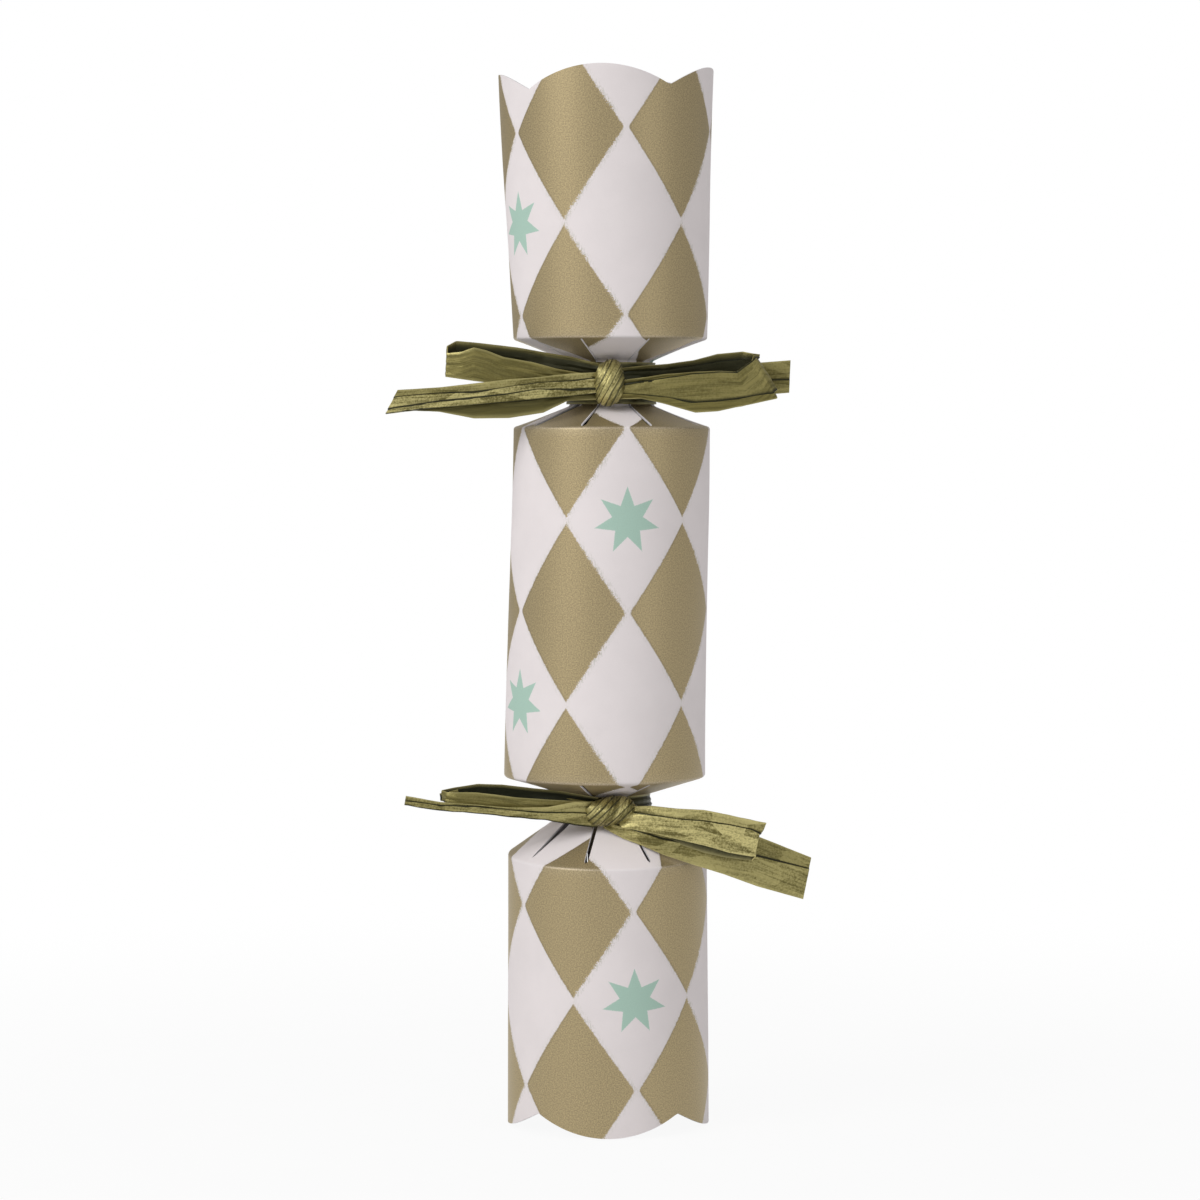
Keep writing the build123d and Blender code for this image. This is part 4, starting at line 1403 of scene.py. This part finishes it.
def paper_roll_tree():
    """Sheet rolled up about an upright core, with points cut along its top."""
    wiring, given = geometry_tree("paper roll", {
        "Core radius": 0.003, "Outer radius": 0.008, "Turns": 3.0, "Length": 0.06, "Points": 0.0,
        "Point depth": 0.0, "Wrinkle": 0.0003, "Middle": "Vector",
    })
    grid = wiring.node("GeometryNodeMeshGrid", {"Size X": 1.0, "Size Y": 1.0, **ROLL_POINTS})
    flat_x, flat_y, _ = wiring.position()
    along, up = flat_x + 0.5, flat_y + 0.5
    turn = along * given["Turns"] * (2 * pi)
    creases = wiring.noise(wiring.point(turn * 2.0, up * 3.0, given["Seed"]), 1.0)
    wrinkle = (creases - 0.5) * given["Wrinkle"]
    reach = wiring.mix("FLOAT", along, given["Core radius"], given["Outer radius"]) + wrinkle
    cut = wiring.math("PINGPONG", along * given["Points"], 0.5) * 2.0 * given["Point depth"]
    place = wiring.point(
        reach * wiring.math("COSINE", turn), reach * wiring.math("SINE", turn), up * (given["Length"] - cut)
    )
    return end_tree(wiring, wiring.moved(grid, position=place + given["Middle"]), given["Material"])


class CRACKER_OT_papers(bpy.types.Operator):
    """Roll up the paper hat and the motto slip"""

    bl_idname = "cracker.papers"
    bl_label = "Hat and motto"

    def execute(self, context):
        filling = context.scene.cracker_filling
        tree = paper_roll_tree()
        for seed, roll in enumerate(PAPER_ROLLS, start=4):
            low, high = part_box(roll["node"])
            tall = high.z - low.z
            outer = min(high.x - low.x, high.y - low.y) / 2 - ROLL_CLEARANCE
            core = ROLL_CORE * outer
            tone = getattr(filling, roll["tone"])
            mesh = grown_mesh(
                roll["node"] + "_roll", tree, roll["thickness"], core_radius=core, outer_radius=outer,
                turns=ROLL_TURNS, length=tall, points=roll["points"], point_depth=roll["point_depth"],
                wrinkle=ROLL_WRINKLE * outer, middle=(*((low + high) / 2).xy, low.z), seed=float(seed),
                material=plain_paper(roll["paper"], tone, 1500.0, 260.0, 0.0002, roll["shade"]),
            )
            piece = finished(mesh, "barrel", roll["slot"], roll["node"])
        return {"FINISHED"}


class CRACKER_OT_snap(bpy.types.Operator):
    """Finish the card strips, friction patches and paper band of the snap"""

    bl_idname = "cracker.snap"
    bl_label = "Snap"

    def execute(self, context):
        filling = context.scene.cracker_filling
        board = plain_paper("snap board", filling.board, 1800.0, 320.0, 0.0003, 0.82)
        compound = plain_paper("friction coating", filling.compound, 4200.0, 700.0, 0.0004, 0.6, 0.95)
        sleeve = plain_paper("snap paper", filling.sleeve, 2400.0, 180.0, 0.0001, 0.92)
        finish(board, "snap_upper_strip", "snap_lower_strip")
        finish(compound, "snap_upper_patch", "snap_lower_patch")
        finish(sleeve, "snap_band")
        return {"FINISHED"}


class CRACKER_OT_gift(bpy.types.Operator):
    """Finish the turned wooden spinning top"""

    bl_idname = "cracker.gift"
    bl_label = "Spinning top"

    def execute(self, context):
        filling = context.scene.cracker_filling
        grain = wood_grain_group()
        finish(turned_wood("turned beech", filling.beech, grain, 900.0), "gift_top_body")
        finish(turned_wood("beech peg", filling.peg, grain, 1500.0), "gift_top_spindle")
        return {"FINISHED"}


# Stage, in metres, with the camera's sensor in millimetres

FLOOR_RINGS = 6
FLOOR_SPOKES = 48
FLOOR_STEP = 0.4
FLOOR_DROP = 0.0003
LIGHT_SIZE = 0.9
LIGHT_AIM = (0.0, 0.0, 0.15)
KEY_PLACE = (-1.1, -0.95, 0.95)
FILL_PLACE = (1.0, -1.0, 0.45)
SENSOR_WIDTH = 36.0
WHITE = (1, 1, 1, 1)


def floor_disc():
    """Round floor in rings of cells about its middle."""
    turns = [2 * pi * i / FLOOR_SPOKES for i in range(FLOOR_SPOKES)]
    points, faces = [(0.0, 0.0, 0.0)], []
    for k in range(1, FLOOR_RINGS + 1):
        points += [(FLOOR_STEP * k * cos(turn), FLOOR_STEP * k * sin(turn), 0.0) for turn in turns]
    for i in range(FLOOR_SPOKES):
        n = (i + 1) % FLOOR_SPOKES
        faces.append((0, 1 + i, 1 + n))
        for k in range(FLOOR_RINGS - 1):
            inner, outer = 1 + k * FLOOR_SPOKES, 1 + (k + 1) * FLOOR_SPOKES
            faces.append((inner + i, outer + i, outer + n, inner + n))
    mesh = bpy.data.meshes.new("floor")
    mesh.from_pydata(points, [], faces)
    return mesh


def floor_material():
    """White to the camera, with the object's shadow around its foot."""
    made, wiring = surface("white floor")
    place = wiring.own_place()
    tone = wiring.ramp(wiring.noise(place, 40.0), 0.2, 0.8, 0.58, 0.62)
    matte = wiring.node("ShaderNodeBsdfDiffuse", {"Color": tone})
    glow = wiring.node("ShaderNodeEmission", {"Color": WHITE, "Strength": 1.0})
    rays = wiring.outputs("ShaderNodeLightPath")
    seen = wiring.math("MAXIMUM", rays["Is Camera Ray"], rays["Is Glossy Ray"])
    far = wiring.ramp(wiring.vector("LENGTH", place), 0.1, 0.5, 0.93, 1.0)
    both = wiring.node("ShaderNodeMixShader", {0: seen * far, 1: matte, 2: glow})
    wiring.place("ShaderNodeOutputMaterial", {"Surface": both})
    return made


def white_surround(world, strength):
    """White to the camera, and a softer light on the object that falls off downwards."""
    world.use_nodes = True
    world.node_tree.nodes.clear()
    wiring = Wiring(world.node_tree)
    seen = wiring.node("ShaderNodeLightPath", output="Is Camera Ray")
    up = wiring.parts(wiring.node("ShaderNodeTexCoord", output="Generated"))[2]
    light = wiring.mix("FLOAT", seen, wiring.ramp(up, -0.7, 0.9, 0.3, 1.6) * strength, 1.0)
    back = wiring.node("ShaderNodeBackground", {"Color": WHITE, "Strength": light})
    wiring.place("ShaderNodeOutputWorld", {"Surface": back})


def aimed(made, place, aim):
    """Puts a lamp or a camera at a place and turns it to another."""
    made.location = place
    made.rotation_euler = (Vector(aim) - Vector(place)).to_track_quat("-Z", "Y").to_euler()


def soft_light(name, place, power):
    lamp = bpy.data.lights.new(name, "AREA")
    lamp.shape = "DISK"
    lamp.size = LIGHT_SIZE
    lamp.energy = power
    aimed(linked(name, lamp), place, LIGHT_AIM)


class CRACKER_OT_stage(bpy.types.Operator):
    """Set up the floor, the light and the camera"""

    bl_idname = "cracker.stage"
    bl_label = "Stage"

    def execute(self, context):
        scene, stage = context.scene, context.scene.cracker_stage
        mesh = floor_disc()
        mesh.materials.append(floor_material())
        floor = linked("floor", mesh)
        floor.location.z = CAD_BOX[0][2] - FLOOR_DROP
        scene.world = bpy.data.worlds.new("white surround")
        white_surround(scene.world, stage.surround)
        soft_light("key light", KEY_PLACE, stage.key_power)
        soft_light("fill light", FILL_PLACE, stage.fill_power)
        lens = bpy.data.cameras.new("camera")
        lens.lens = stage.lens
        lens.sensor_width = SENSOR_WIDTH
        scene.camera = linked("camera", lens)
        place = (stage.side, -stage.distance, stage.camera_height)
        aimed(scene.camera, place, (stage.side, 0.0, stage.aim_height))
        scene.view_settings.view_transform = "Standard"
        return {"FINISHED"}


OPERATORS = (
    CRACKER_OT_card, CRACKER_OT_bows, CRACKER_OT_papers, CRACKER_OT_snap, CRACKER_OT_gift, CRACKER_OT_stage,
)
GROUPS = {
    "cracker_card": CrackerCard,
    "cracker_raffia": CrackerRaffia,
    "cracker_filling": CrackerFilling,
    "cracker_stage": CrackerStage,
}


class CRACKER_PT_panel(bpy.types.Panel):
    """The cracker's pieces, their sizes and their colours"""

    bl_idname = "CRACKER_PT_panel"
    bl_label = "Christmas cracker"
    bl_space_type = "VIEW_3D"
    bl_region_type = "UI"
    bl_category = "Cracker"

    def draw(self, context):
        for operator in OPERATORS:
            self.layout.operator(operator.bl_idname)
        for name, group in GROUPS.items():
            box = self.layout.box()
            box.label(text=group.__doc__)
            for value in group.__annotations__:
                box.prop(getattr(context.scene, name), value)


def register():
    for made in (*GROUPS.values(), *OPERATORS, CRACKER_PT_panel):
        bpy.utils.register_class(made)
    for name, group in GROUPS.items():
        setattr(bpy.types.Scene, name, PointerProperty(type=group))


def unregister():
    for name in GROUPS:
        delattr(bpy.types.Scene, name)
    for made in (CRACKER_PT_panel, *OPERATORS, *GROUPS.values()):
        bpy.utils.unregister_class(made)


def main():
    register()
    bpy.ops.cracker.stage()
    bpy.ops.cracker.card()
    bpy.ops.cracker.bows()
    bpy.ops.cracker.papers()
    bpy.ops.cracker.snap()
    bpy.ops.cracker.gift()


if __name__ == "__main__":
    main()
